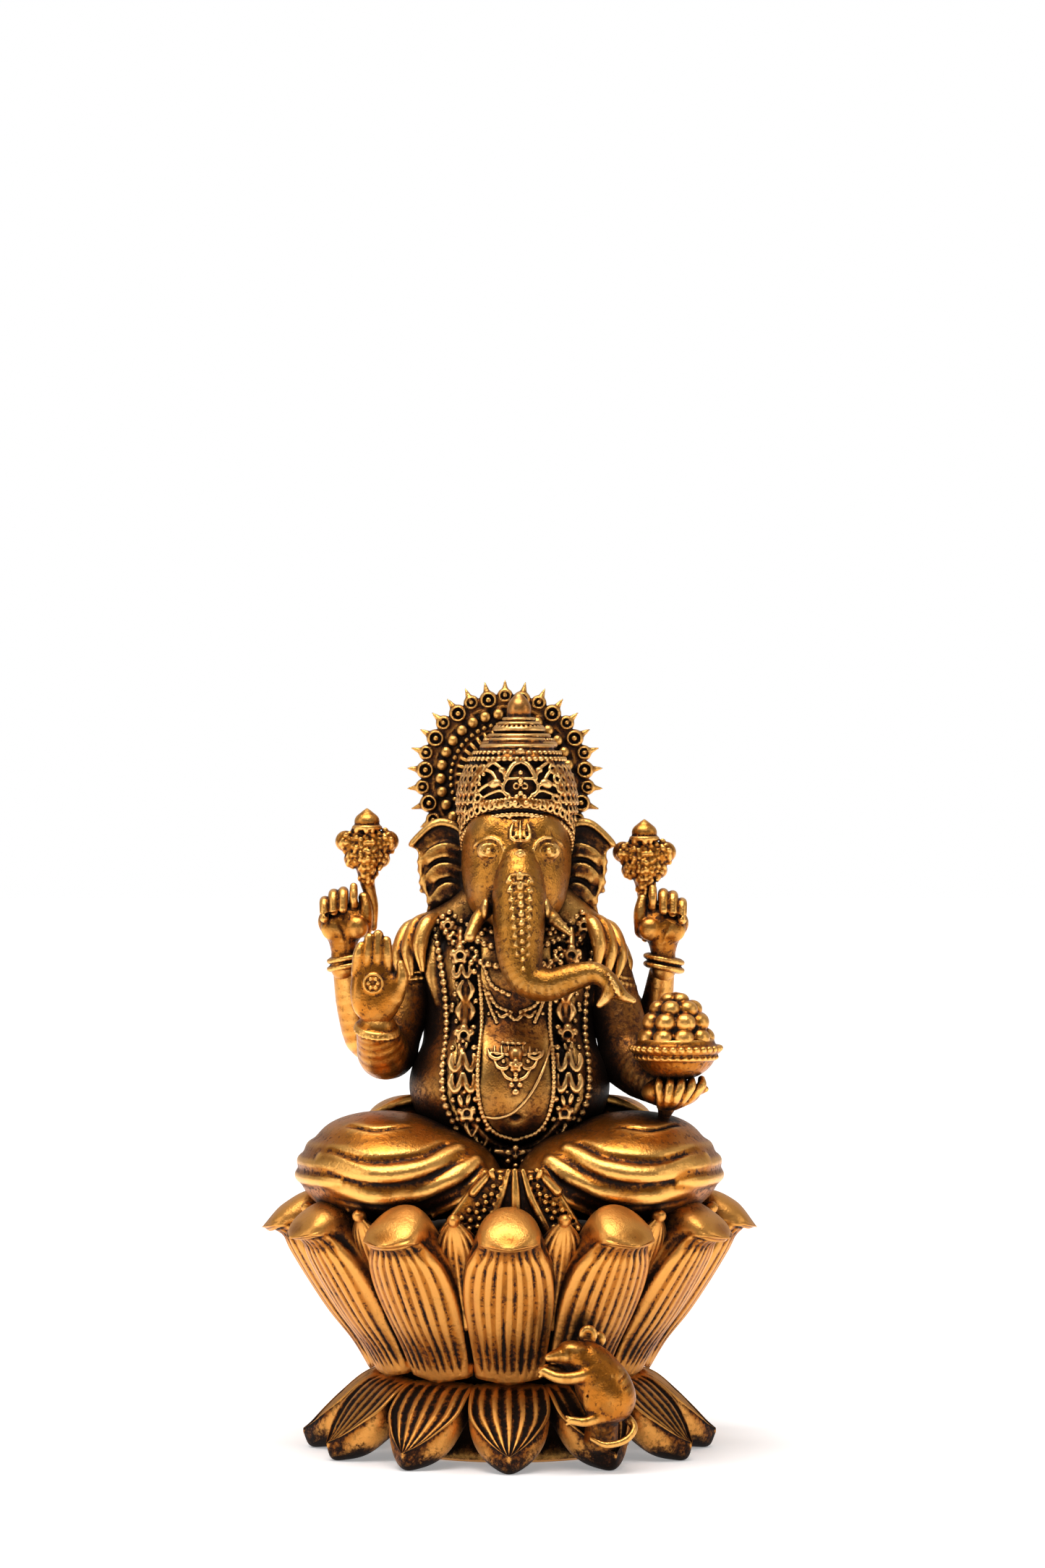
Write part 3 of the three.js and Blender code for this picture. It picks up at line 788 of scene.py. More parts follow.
def revolve(profile, around=96):
    """A turned closed skin from [radius, height] points, first and last on the axis."""
    profile = np.array(profile, float)
    angle = np.linspace(0, 2 * math.pi, around, endpoint=False)[None, :]
    r, z = profile[1:-1, :1], profile[1:-1, 1:]
    loops = np.stack([r * np.cos(angle), r * np.sin(angle), z + 0 * angle], -1)
    verts = np.concatenate([loops.reshape(-1, 3), [[0, 0, profile[0, 1]], [0, 0, profile[-1, 1]]]])
    rows = len(profile) - 2
    i, j = np.meshgrid(np.arange(rows - 1), np.arange(around), indexing="ij")
    k = (j + 1) % around
    quads = np.stack(
        [i * around + j, i * around + k, (i + 1) * around + k, (i + 1) * around + j], -1,
    ).reshape(-1, 4)
    bottom, top, last = len(verts) - 2, len(verts) - 1, (rows - 1) * around
    ends = []
    for a in range(0, around, 2):
        b, c = (a + 1) % around, (a + 2) % around
        ends.append([bottom, c, b, a])
        ends.append([top, last + a, last + b, last + c])
    return verts, np.concatenate([quads, np.array(ends)])


def rounded(profile, steps=4):
    """The profile with points added between its own, on a smooth curve."""
    return along_curve([(r, z, 0) for r, z in profile], steps * (len(profile) - 1) + 1)[:, :2]


def lotus_core():
    low, high = cad("lotus_core")
    foot, top = 15.2, high[2]
    side = rounded(
        [
            (foot - 0.6, 0.02), (foot, 0.9), (foot - 1.0, 4), (foot - 1.1, 9.8), (17.0, 16),
            (20.4, 21.6), (21.2, top),
        ],
        6,
    )
    verts, faces = revolve([(0, 0.02), (foot - 3, 0.02), *side, (18, top), (0, top)], 144)
    angle = np.arctan2(verts[:, 1], verts[:, 0])
    radius = np.hypot(verts[:, 0], verts[:, 1])
    shape = np.clip((radius - 12) / 2, 0, 1) * np.clip(verts[:, 2] / 2, 0, 1)
    swell = shape * (0.25 * np.abs(np.sin(PETALS * angle)) ** 0.7 - 0.15)
    verts[:, :2] *= (1 + swell / np.maximum(radius, 1))[:, None]
    publish("lotus_core", (verts, faces), BRONZED)


def seat_pod():
    """The seed pod: a low dome with rows of seeds round the lap."""
    low, high = cad("seat_pod")
    radius, top = high[0], high[2]
    clay = Clay(vec(-radius, -radius, top - 3.6), vec(radius, radius, top + 0.4), 0.34)

    def disc(x, y, z):
        flat = np.sqrt(x * x + y * y) - radius + 0.6
        deep = np.abs(z - top + 1.6) - 1.0
        outside = np.sqrt(np.maximum(flat, 0) ** 2 + np.maximum(deep, 0) ** 2)
        inside = np.minimum(np.maximum(flat, deep), 0)
        return (outside + inside - 0.6).astype(F32)

    clay.put(disc, vec(-radius, -radius, top - 3.4), vec(radius, radius, top))
    for reach, count in ((20.6, 52), (18.2, 46)):
        for i in range(count):
            a = 2 * math.pi * (i + 0.5 * (reach < 20)) / count
            clay.ball(p(reach * math.cos(a), reach * math.sin(a), top), (0.75, 0.75, 0.4), k=0.15)
    publish("seat_pod", clay.skin(), LOTUS)


def inner_petals():
    """The small veined petals between the upper ones, on one collar."""
    low, high = cad("inner_petal_ring")
    tip, root = high[2], 17.0
    skins = []
    for i in range(PETALS):
        petal = leaf(
            under=[
                (20.6, root), (22.6, root + 4), (24.7, root + 8.6), (26.1, root + 11.6),
                (26.5, tip + 0.3),
            ],
            edge=[
                (19.4, root), (21.0, root + 4), (23.0, root + 8.6), (24.6, root + 11.8),
                (26.5, tip + 0.3),
            ],
            over=[
                (18.6, root), (20.2, root + 4), (22.2, root + 8.6), (24.4, root + 12.6),
                (26.5, tip + 0.3),
            ],
            widths=[1.6, 2.6, 3.1, 2.4, 0],
            rows=30,
            columns=28,
            relief_under=both(ribs(7, 0.22, phase=i), rim_line(0.92, 0.08, 0.12)),
        )
        bud = leaf(
            under=[(25.5, tip - 1.1), (26.9, tip - 0.5), (27.2, tip + 0.3), (26.6, tip + 0.9)],
            edge=[(25.5, tip - 1.1), (26.0, tip - 0.2), (26.2, tip + 0.5), (26.6, tip + 0.9)],
            over=[(25.5, tip - 1.1), (25.2, tip - 0.2), (25.6, tip + 0.6), (26.6, tip + 0.9)],
            widths=[0.3, 0.75, 0.7, 0],
            rows=10,
            columns=12,
        )
        skins += [turned_about_axis(s, (i + 0.5) * 360 / PETALS) for s in (petal, bud)]
    collar = revolve([(0, 21.7), (20.9, 21.7), (22.4, 22.0), (23.1, 24.4), (21.7, 24.5), (0, 24.5)])
    publish("inner_petal_ring", joined(collar, *skins), LOTUS)


def mouse():
    """The mouse, sitting up with its paws together: a foot on the lower petal, a stay to the upper ones."""
    low, high = cad("mouse")
    clay = Clay(low - vec(1.2, 1.2, 0.6), high + vec(2.0, 0.8, 1.2), 0.16)
    clay.ball(p(11.6, -23.4, 10.6), (3.4, 3.2, 4.3), turn=(0, -32, 0))
    clay.ball(p(12.6, -23.6, 8.9), (2.7, 2.9, 2.6), k=1.2)
    clay.ball(p(9.9, -23.2, 13.4), (2.7, 2.5, 2.4), k=1.2)
    clay.limb([p(9.2, -23.4, 14.2), p(7.0, -24.4, 14.5), p(4.9, -24.9, 14.3)], [2.0, 1.35, 0.55], k=0.8)
    clay.ball(p(8.0, -23.9, 15.2), (1.9, 1.6, 1.0), k=0.5, turn=(0, 12, 0))
    clay.ball(p(9.7, -22.9, 16.9), (1.15, 0.6, 1.2), k=0.35)
    clay.ball(p(9.6, -23.6, 16.9), (0.6, 0.35, 0.65), k=0.2, cut=True)
    clay.ball(p(11.0, -21.6, 16.2), (0.9, 0.6, 1.0), k=0.35)
    clay.limb([p(10.2, -22.0, 15.6), p(9.9, -22.6, 16.6)], 0.5, k=0.4)
    for side, reach in ((-0.9, 0.35), (0.5, 0.0)):
        clay.bead(p(6.9 - side * 0.1, -25.2 + 0.4 * side + 0.6, 15.2 - reach * 0.2), 0.3, k=0.08)
    clay.limb(
        [p(10.6, -25.0, 12.6), p(8.2, -25.9, 12.0), p(6.0, -26.0, 12.0), p(4.2, -25.6, 12.7)],
        [1.0, 0.8, 0.7, 0.6],
        k=0.4,
    )
    clay.limb([p(10.0, -22.2, 12.8), p(7.4, -23.4, 12.6), p(4.6, -24.6, 13.0)], [0.9, 0.7, 0.5], k=0.3)
    for spread in (-0.5, 0.0, 0.5):
        clay.limb([p(4.6, -25.7, 12.7), p(3.7, -25.8 + spread * 0.4, 12.6 + spread)], [0.3, 0.16], k=0.1)
    clay.ball(p(11.2, -25.2, 8.6), (2.0, 1.2, 2.4), k=0.5, turn=(0, -40, 0))
    clay.limb([p(11.2, -25.4, 7.2), p(9.4, -26.0, 6.6), p(7.6, -26.2, 6.8)], [0.9, 0.6, 0.5], k=0.35)
    for spread in (-0.4, 0.1, 0.6):
        clay.limb([p(7.9, -26.2, 6.8), p(7.0, -26.3, 6.7 + spread)], [0.28, 0.16], k=0.1)
    for i in range(7):
        a = 0.5 + i * 0.42
        clay.limb(
            [
                p(12 + 2.4 * math.cos(a), -25.9, 9.4 + 2.6 * math.sin(a)),
                p(12.6 + 3.0 * math.cos(a), -24.6, 9.8 + 3.2 * math.sin(a)),
            ],
            0.12,
            k=0.25,
            cut=True,
        )
    clay.limb([p(11.2, -21.4, 3.9), p(11.5, -22.4, 6.4), p(11.4, -22.8, 9.0)], [2.2, 1.9, 2.2], k=0.6)
    clay.limb([p(8.8, -16.6, 12.4), p(9.8, -20.0, 11.6), p(10.4, -22.0, 11.4)], [1.5, 1.5, 2.0], k=0.6)
    tail = [
        (14.0, -22.6, 7.2), (15.3, -23.6, 5.6), (14.2, -24.9, 4.2), (11.9, -25.4, 3.7),
        (10.1, -24.9, 4.4),
    ]
    clay.limb([p(*point) for point in tail], [0.6, 0.5, 0.45, 0.4, 0.3], k=0.2)
    publish("mouse", clay.skin(), ANTIQUE)


lotus_core()
seat_pod()
inner_petals()
mouse()
# ------------------------------------------------------------------ lap and dress

HEART = 0.8  # X of the line the ornament is hung on


def ridge(clay, points, radii, k=0.3, lift=0.0, cut=False):
    """A rounded fold, or a crease, drawn as (x, z) points on the front of the clay."""
    clay.limb(clay.over(points, lift), radii, k, steps=5 * len(points), cut=cut)


def mirrored(points, side, middle_x=0.5):
    """Points drawn for the figure's right side, put on the asked side."""
    return [(x if side == RIGHT else 2 * middle_x - x, *rest) for x, *rest in points]


def bead_row(clay, points, radius, gap, k=0.12):
    """Beads at an even gap along a curve of (x, z) points laid on the clay given, or through 3-D points."""
    curve = along_curve(points, 400)
    length = np.concatenate([[0], np.cumsum(np.linalg.norm(np.diff(curve, axis=0), axis=1))])
    count = max(int(length[-1] / gap), 1)
    for reach in np.linspace(0, length[-1], count + 1):
        place = [np.interp(reach, length, curve[:, i]) for i in range(curve.shape[1])]
        clay.bead(place, radius, k)


# Folds and creases on the front of a leg: (x, z) points on the right side, radii, blend, lift, and
# whether it is cut in.
LEG_FOLDS = [
    (
        [(-22.4, 39.1), (-17.5, 38.0), (-11.5, 38.5), (-7.8, 39.9)],
        [0.05, 0.35, 0.4, 0.15],
        0.7,
        0.2,
        True,
    ),
    (
        [(-23.4, 38.0), (-17.2, 36.3), (-11.0, 36.9), (-6.2, 39.2)],
        [0.3, 0.95, 0.95, 0.5],
        0.9,
        -0.35,
        False,
    ),
    (
        [(-23.0, 36.4), (-17.2, 35.0), (-11.0, 35.5), (-5.6, 38.2)],
        [0.05, 0.24, 0.28, 0.15],
        0.5,
        0.2,
        True,
    ),
    (
        [(-23.0, 35.2), (-17.2, 33.7), (-11.5, 33.9), (-7.2, 35.7), (-4.0, 37.9)],
        [0.35, 1.0, 0.95, 0.7, 0.4],
        0.9,
        -0.3,
        False,
    ),
    (
        [(-21.5, 32.9), (-17.2, 32.2), (-11.5, 32.4), (-6.6, 34.4), (-3.4, 37.0)],
        [0.05, 0.32, 0.34, 0.28, 0.15],
        0.5,
        0.2,
        True,
    ),
    (
        [(-12.8, 30.4), (-9.0, 31.6), (-5.3, 33.6), (-2.9, 36.6)],
        [0.55, 0.6, 0.55, 0.35],
        0.25,
        0.1,
        False,
    ),
    ([(-20.0, 41.9), (-16.5, 41.5), (-12.5, 42.0)], [0.2, 0.3, 0.2], 0.3, 0.05, True),
]


def side_folds(clay, s):
    """Folds that go round the outside of a knee, one above the other."""
    for tilt, r in ((62, 0.45), (46, 0.7), (30, 0.85), (14, 0.85), (-2, 0.8)):
        rise, reach = math.sin(math.radians(tilt)), math.cos(math.radians(tilt))
        fold = []
        for around in range(58, -75, -12):
            a = math.radians(around)
            out = 14.6 + 11.7 * reach * math.cos(a)
            fold.append(p(s * out, -6.4 - 14.4 * reach * math.sin(a), 35.5 + 6.5 * rise))
        clay.limb(fold, [0.3 * r, 0.8 * r] + [r] * (len(fold) - 3) + [0.3 * r], k=0.6)


def leg(node, side):
    """A folded leg under its cloth: a round knee with folds that sweep to the middle of the lap."""
    low, high = cad(node)
    clay = Clay(low - 1.0, high + 1.2, 0.27)
    s = side
    clay.ball(p(s * 14.6, -6.4, 35.6), (11.9, 14.6, 6.6))
    clay.ball(p(s * 14.8, -9.0, 37.6), (10.6, 10.6, 4.8), k=2.0)
    clay.ball(p(s * 6.5, -12.5, 35.2), (5.6, 7.5, 4.6), k=2.5)
    clay.ball(p(s * 16.2, -8.0, 40.2), (7.2, 8.6, 3.0), k=1.4)
    for points, radii, k, lift, cut in LEG_FOLDS:
        ridge(clay, mirrored(points, side), radii, k, lift, cut)
    side_folds(clay, side)
    for drop in (0.0, 0.9, 1.8):
        lace = mirrored([(-20.0 + drop, 31.6 - drop), (-14.0, 31.2 - drop), (-9.4, 31.0 - drop)], side)
        bead_row(clay, clay.over(lace, 0.05), 0.3, 1.0, k=0.15)
    publish(node, clay.skin(), ANTIQUE)


def dhoti_back():
    """The cloth behind the waist, gathered in ribs over each hip."""
    low, high = cad("dhoti_back")
    clay = Clay(low - vec(3.4, 1, 0.6), high + vec(3.4, 0.6, 1.0), 0.34)
    clay.ball(p(0, 6.6, 36.5), (15.6, 13.8, 9.4))
    for s in (RIGHT, LEFT):
        clay.ball(p(s * 12.6, 1.5, 41.2), (5.8, 6.2, 3.6), k=1.5)
        for i in range(7):
            a = math.radians(12 + 20 * i)
            out = p(
                s * (11.5 + 7.4 * math.cos(a)), 1.5 - 7.0 * math.cos(a) + 11.5 * math.sin(a),
                41.8 - 0.6 * i,
            )
            clay.limb(
                [p(s * 8.2, -3.5 + 1.6 * i, 45.4), (out + p(s * 8.2, -3.5 + 1.6 * i, 46.6)) / 2, out],
                [0.4, 0.75, 0.5],
                k=0.3,
            )
    for i in range(19):
        a = math.radians(9 * (i + 1))
        gather = []
        for tilt in (-18, 0, 18, 36, 52, 66):
            rise, reach = math.sin(math.radians(tilt)), math.cos(math.radians(tilt))
            gather.append(p(15.5 * reach * math.cos(a), 6.6 + 13.7 * reach * math.sin(a), 36.5 + 9.3 * rise))
        clay.limb(gather, [0.85, 0.85, 0.75, 0.6, 0.45, 0.3], k=0.55)
    for rise, r in ((45.6, 0.55), (44.6, 0.35)):
        belt = [
            p(
                x,
                6.6 + 13.8 * math.sqrt(max(0.0, 1 - (x / 15.6) ** 2 - ((rise - 36.5) / 9.4) ** 2)),
                rise,
            )
            for x in np.linspace(-3.6, 3.6, 7)
        ]
        clay.limb(belt, r, k=0.3)
    publish("dhoti_back", clay.skin(), ANTIQUE)


def pleats():
    """The fan of pleats that falls over the front of the seat, with lace between."""
    low, high = cad("dhoti_pleats")
    clay = Clay(low - vec(1.0, 1.2, 0.6), high + vec(1.0, 1.0, 0.8), 0.16)
    clay.slab([(-3.2, 37.0), (4.6, 37.0), (9.6, 29.0), (-9.0, 29.0)], -20.8, 2.2, rounding=0.5)
    ridges = [
        ([(0.7, 36.9), (0.8, 34.0), (0.9, 29.2)], [0.35, 0.6, 0.7]),
        ([(-0.1, 36.9), (-1.0, 33.6), (-2.6, 29.2)], [0.3, 0.5, 0.6]),
        ([(1.7, 36.9), (2.8, 33.4), (4.8, 29.4)], [0.3, 0.5, 0.6]),
        ([(-2.0, 37.0), (-4.4, 34.2), (-8.8, 30.6)], [0.3, 0.45, 0.5]),
        ([(3.4, 37.0), (5.9, 34.4), (9.8, 31.0)], [0.3, 0.5, 0.6]),
    ]
    lace = []
    for lean in (-1, 1):
        for row in range(7):
            z = 35.8 - row
            inner, outer = 1.0 + 0.36 * row, 2.2 + 1.0 * row
            for i in range(2 + row // 2):
                x = HEART + lean * (inner + (outer - inner) * (i + 0.5) / (2 + row // 2))
                lace.append((x, z + 0.25 * (i % 2)))
    for x, z in lace:
        clay.bead(clay.front(x, z, 0.05), 0.34, 0.08)
        clay.bead(clay.front(x + 0.42, z - 0.35, -0.15), 0.22, 0.0, cut=True)
    for points, radii in ridges:
        ridge(clay, points, radii, k=0.2, lift=0.25)
    for lean in (-1, 1):
        loop = [(HEART + lean * x, z) for x, z in ((1.4, 37.2), (2.4, 37.5), (3.1, 36.9), (2.7, 36.0))]
        ridge(clay, loop, [0.25, 0.35, 0.35, 0.25], k=0.1, lift=0.4)
    publish("dhoti_pleats", clay.skin(), ANTIQUE)


# ------------------------------------------------------------------ body, garland and pendant


def body_clay(step):
    """The trunk of the body: a round belly, a chest and sloping shoulders."""
    low, high = cad("torso")
    clay = Clay(low - 0.8, high + vec(0.8, 0.8, 4.0), step)
    clay.ball(p(0, -3.4, 46.4), (12.7, 10.9, 9.6))
    clay.ball(p(0, -0.6, 54.5), (11.0, 8.2, 8), k=2.5)
    clay.ball(p(0, -0.4, 60.4), (11.6, 8.8, 7.2), k=2.0)
    clay.limb([p(-9.6, -0.2, 63.6), p(0, 0.6, 65.4), p(9.6, -0.2, 63.6)], [3.0, 3.4, 3.0], k=1.5)
    clay.ball(p(HEART, -8.6, 46.6), (4.4, 5.6, 6.6), k=0.8)
    for s in (RIGHT, LEFT):
        clay.limb(
            [p(s * 10.4, -0.4, 65.4), p(HEART + s * 7.0, -1.6, 67.6), p(HEART + s * 4.0, -1.4, 70.6)],
            [2.6, 2.6, 2.4],
            k=1.2,
        )
    return clay


def torso():
    clay = body_clay(0.3)
    for s in (RIGHT, LEFT):
        groove = ((6.0, 64.0), (5.9, 57.0), (6.2, 50.0), (6.8, 45.0), (4.6, 41.0), (1.0, 38.6))
        band = [(HEART + s * x, z) for x, z in groove]
        ridge(clay, band, [1.6, 1.6, 1.8, 1.8, 1.4, 1.0], k=0.4, lift=0.6, cut=True)
        chest = [(HEART + s * x, z) for x, z in ((10.0, 66.0), (10.4, 61.0), (9.6, 57.0))]
        ridge(clay, chest, [0.9, 1.2, 0.7], k=0.5, lift=-0.5)
        blade = [(s * 3.6, 63.0), (s * 5.4, 60.4), (s * 5.0, 57.4)]
        clay.limb(clay.over(blade, -1.0, way=-1), [1.4, 2.0, 1.2], k=1.2)
        strand = clay.over([(s * 8.6, 66.4), (s * 5.6, 62.6), (s * 2.4, 59.6), (0, 58.2)], 0.1, way=-1)
        clay.limb(strand, 0.3, k=0.1)
        bead_row(clay, strand, 0.42, 0.95)
        waist = clay.over([(s * 11.6, 50.0), (s * 8.0, 48.6), (s * 4.0, 48.0), (0, 47.8)], 0.1, way=-1)
        clay.limb(waist, 0.45, k=0.2)
        bead_row(clay, waist, 0.34, 0.8)
    clay.limb(
        clay.over([(0, 64.0), (0, 58.0), (0, 50.0)], 0.1, way=-1), [0.3, 0.8, 0.5], k=0.8, cut=True,
    )
    tassel = clay.over([(0, 58.2), (0, 56.4), (0, 54.2)], 0.2, way=-1)
    clay.limb(tassel, [0.4, 0.9, 0.5], k=0.15)
    clay.ball(clay.front(HEART, 42.6, 0.1), (0.8, 0.5, 0.7), k=0.2, cut=True)
    publish("torso", clay.skin(), BRONZED)


def rosette(clay, centre, size, open_middle=True):
    """A small flower of five petals with a hole or a bead in the middle."""
    c = np.asarray(centre, float)
    for i in range(5):
        a = math.radians(90 + 72 * i)
        clay.bead(c + size * p(0.62 * math.cos(a), 0, 0.62 * math.sin(a)), 0.42 * size, 0.1)
    clay.ring(c - p(0, 0.25 * size, 0), (0, 1, 0), 0.48 * size, 0.2 * size, k=0.05)
    clay.bead(c - p(0, 0.45 * size, 0), 0.26 * size, 0.0, cut=open_middle)


def leaf_pair(clay, centre, size, lean=1.0):
    """Two drop-shaped leaves side by side under a bead."""
    c = np.asarray(centre, float)
    for s in (-1, 1):
        clay.ball(
            c + size * p(s * 0.46, -0.12, -0.1 + 0.1 * s * lean),
            size * vec(0.34, 0.42, 0.82),
            k=0.08,
            turn=(0, s * 14, 0),
        )
    clay.bead(c + size * p(0, -0.1, 0.86), 0.3 * size, 0.08)
    clay.bead(c + size * p(0, -0.2, -0.55), 0.2 * size, 0.0, cut=True)


def twin_leaf(clay, centre, size):
    """Two leaves that curl out from a peak, each a loop open at the top."""
    c = np.asarray(centre, float)
    for s in (-1, 1):
        loop = [
            (0.1, 0.0, 0.95), (0.42, -0.25, -0.3), (0.9, -0.3, -0.8), (1.3, -0.15, 0.05),
            (1.2, 0.0, 0.8),
        ]
        clay.limb(
            [c + size * p(s * x, y, z) for x, y, z in loop],
            [0.24 * size] + [0.38 * size] * 3 + [0.26 * size],
            k=0.12,
        )


def tulip(clay, centre, size):
    """A long open bud: two curved petals round a hole."""
    c = np.asarray(centre, float)
    for s in (-1, 1):
        loop = [
            c + size * p(s * 0.25, -0.1, 1.0), c + size * p(s * 0.62, -0.2, 0.1),
            c + size * p(s * 0.12, -0.15, -1.0),
        ]
        clay.limb(loop, [0.16 * size, 0.3 * size, 0.18 * size], k=0.08)
    clay.bead(c + size * p(0, -0.15, -0.3), 0.2 * size, 0.05)


def side_strings(clay, hung):
    """The two rows of beads and the cord that runs between them."""
    outer = hung(
        [(10.3, 66.0), (9.3, 61.0), (8.8, 57.0), (8.7, 53.0), (9.1, 49.0), (8.9, 45.0), (7.4, 41.4)],
        0.3,
    )
    clay.limb(outer, 0.24, k=0.0, steps=24)
    bead_row(clay, outer, 0.5, 1.05)
    inner = hung(
        [
            (5.0, 63.4), (4.4, 58.0), (4.3, 54.0), (4.7, 50.0), (4.7, 46.0), (4.0, 42.8), (2.6, 40.9),
            (0.2, 40.0),
        ],
        0.3,
    )
    clay.limb(inner, 0.18, k=0.0, steps=24)
    bead_row(clay, inner, 0.31, 0.6)
    cord = hung(
        [
            (7.0, 66.0), (6.9, 63.0), (6.3, 58.8), (6.4, 54.1), (6.8, 50.0), (6.8, 46.0), (5.4, 42.4),
            (3.2, 39.8), (0.5, 38.6),
        ],
        0.2,
    )
    clay.limb(cord, 0.5, k=0.0, steps=40)


def side_flowers(clay, hung):
    """The flowers and leaves along the cord, with loose beads beside them."""
    motifs = [
        (8.6, 66.6, rosette, 1.0), (7.9, 64.9, rosette, 1.0), (7.0, 62.9, rosette, 1.35),
        (6.8, 60.9, twin_leaf, 0.8),
        (6.3, 58.4, tulip, 1.35), (6.3, 55.7, tulip, 1.5), (6.5, 53.0, rosette, 1.35),
        (6.6, 51.6, leaf_pair, 0.8),
        (6.6, 49.7, twin_leaf, 1.15), (6.6, 47.2, twin_leaf, 1.15), (6.4, 45.2, leaf_pair, 1.05),
        (6.1, 43.4, rosette, 1.25),
        (5.5, 41.6, tulip, 1.1), (4.3, 40.0, tulip, 1.1), (2.9, 39.0, twin_leaf, 0.75),
        (1.4, 38.6, leaf_pair, 0.7),
    ]
    for x, z, motif, size in motifs:
        motif(clay, hung([(x, z)], 0.5)[0], size)
    strays = [
        (7.9, 56.6), (7.9, 51.4), (5.2, 51.5), (7.8, 45.0), (5.0, 45.2), (5.3, 53.9),
        (7.7, 60.2), (5.2, 60.9), (7.4, 54.6), (5.3, 44.0), (7.6, 58.0), (5.0, 57.2),
        (7.2, 42.6), (4.7, 42.6), (3.5, 41.4), (8.0, 62.6), (5.6, 62.0), (6.6, 64.4),
    ]
    for x, z in strays:
        clay.bead(hung([(x, z)], 0.2)[0], 0.4, 0.1)


def neck_strands(clay, hung):
    """The necklaces, from the shoulder to the middle of the chest."""
    fine = hung([(5.0, 63.4), (3.6, 57.6), (2.4, 54.6)], 0.25)
    clay.limb(fine, 0.17, k=0.0)
    bead_row(clay, fine, 0.27, 0.55)
    for points, r, gap in (
        ([(9.8, 67.0), (7.4, 64.0), (4.6, 62.2), (1.5, 61.4)], 0.46, 0.95),
        ([(9.2, 67.6), (6.6, 65.4), (3.6, 64.2), (1.0, 63.8)], 0.5, 1.0),
        ([(8.4, 68.2), (6.0, 66.6), (3.0, 65.8)], 0.42, 0.85),
        ([(4.0, 61.6), (3.0, 59.2), (0.9, 58.0)], 0.34, 0.75),
        ([(3.4, 58.2), (2.4, 56.6), (0.6, 55.8)], 0.28, 0.62),
        ([(3.4, 55.6), (2.6, 55.9), (1.8, 55.2), (1.0, 55.5), (0.2, 54.9)], 0.26, 0.56),
    ):
        bead_row(clay, hung(points, 0.15), r, gap)
        clay.limb(hung(points, 0.0), 0.3, k=0.05)
    for i in range(9):
        clay.bead(hung([(3.0 + 0.62 * i, 66.2 - 0.16 * i * i + 0.9 * (i % 2))], 0.1)[0], 0.42, 0.08)


def clasp(clay, body):
    """The star where the strings meet over the lap."""
    star = body.front(HEART, 37.9, 0.5)
    star[1] = min(star[1], -12.6)
    clay.limb(
        [star + p(-2.4, 0.5, 0.6), star + p(0, 0.3, 0.2), star + p(2.4, 0.5, 0.6)],
        [0.4, 0.9, 0.4],
        k=0.3,
    )
    for i in range(6):
        a = math.radians(90 + 60 * i)
        clay.ball(star + 1.1 * p(math.cos(a), 0, math.sin(a)), (0.42, 0.5, 0.42), k=0.15)
        clay.bead(
            star + 0.62 * p(math.cos(a + 0.52), 0, math.sin(a + 0.52)) - p(0, 0.55, 0),
            0.3,
            0.0,
            cut=True,
        )
    clay.bead(star - p(0, 0.35, 0), 0.3, 0.05)


def garland():
    """Strings of beads and flowers from the shoulders to the lap."""
    low, high = cad("garland")
    body = body_clay(0.3)
    clay = Clay(low - vec(3.0, 2.0, 1.4), high + vec(4.4, 2.0, 3.0), 0.145)
    for s in (RIGHT, LEFT):

        def hung(points, lift=0.2):
            return body.over([(HEART + s * x, z) for x, z in points], lift)

        side_strings(clay, hung)
        side_flowers(clay, hung)
        neck_strands(clay, hung)
    clasp(clay, body)
    thread = body.over(
        [(5.3, 52.0), (4.2, 48.8), (2.6, 45.8), (0.6, 43.6), (-1.4, 42.8), (-3.0, 42.9)], 0.1,
    )
    clay.limb(thread, 0.2, k=0.0, steps=24)
    publish("garland", clay.skin(), JEWEL)


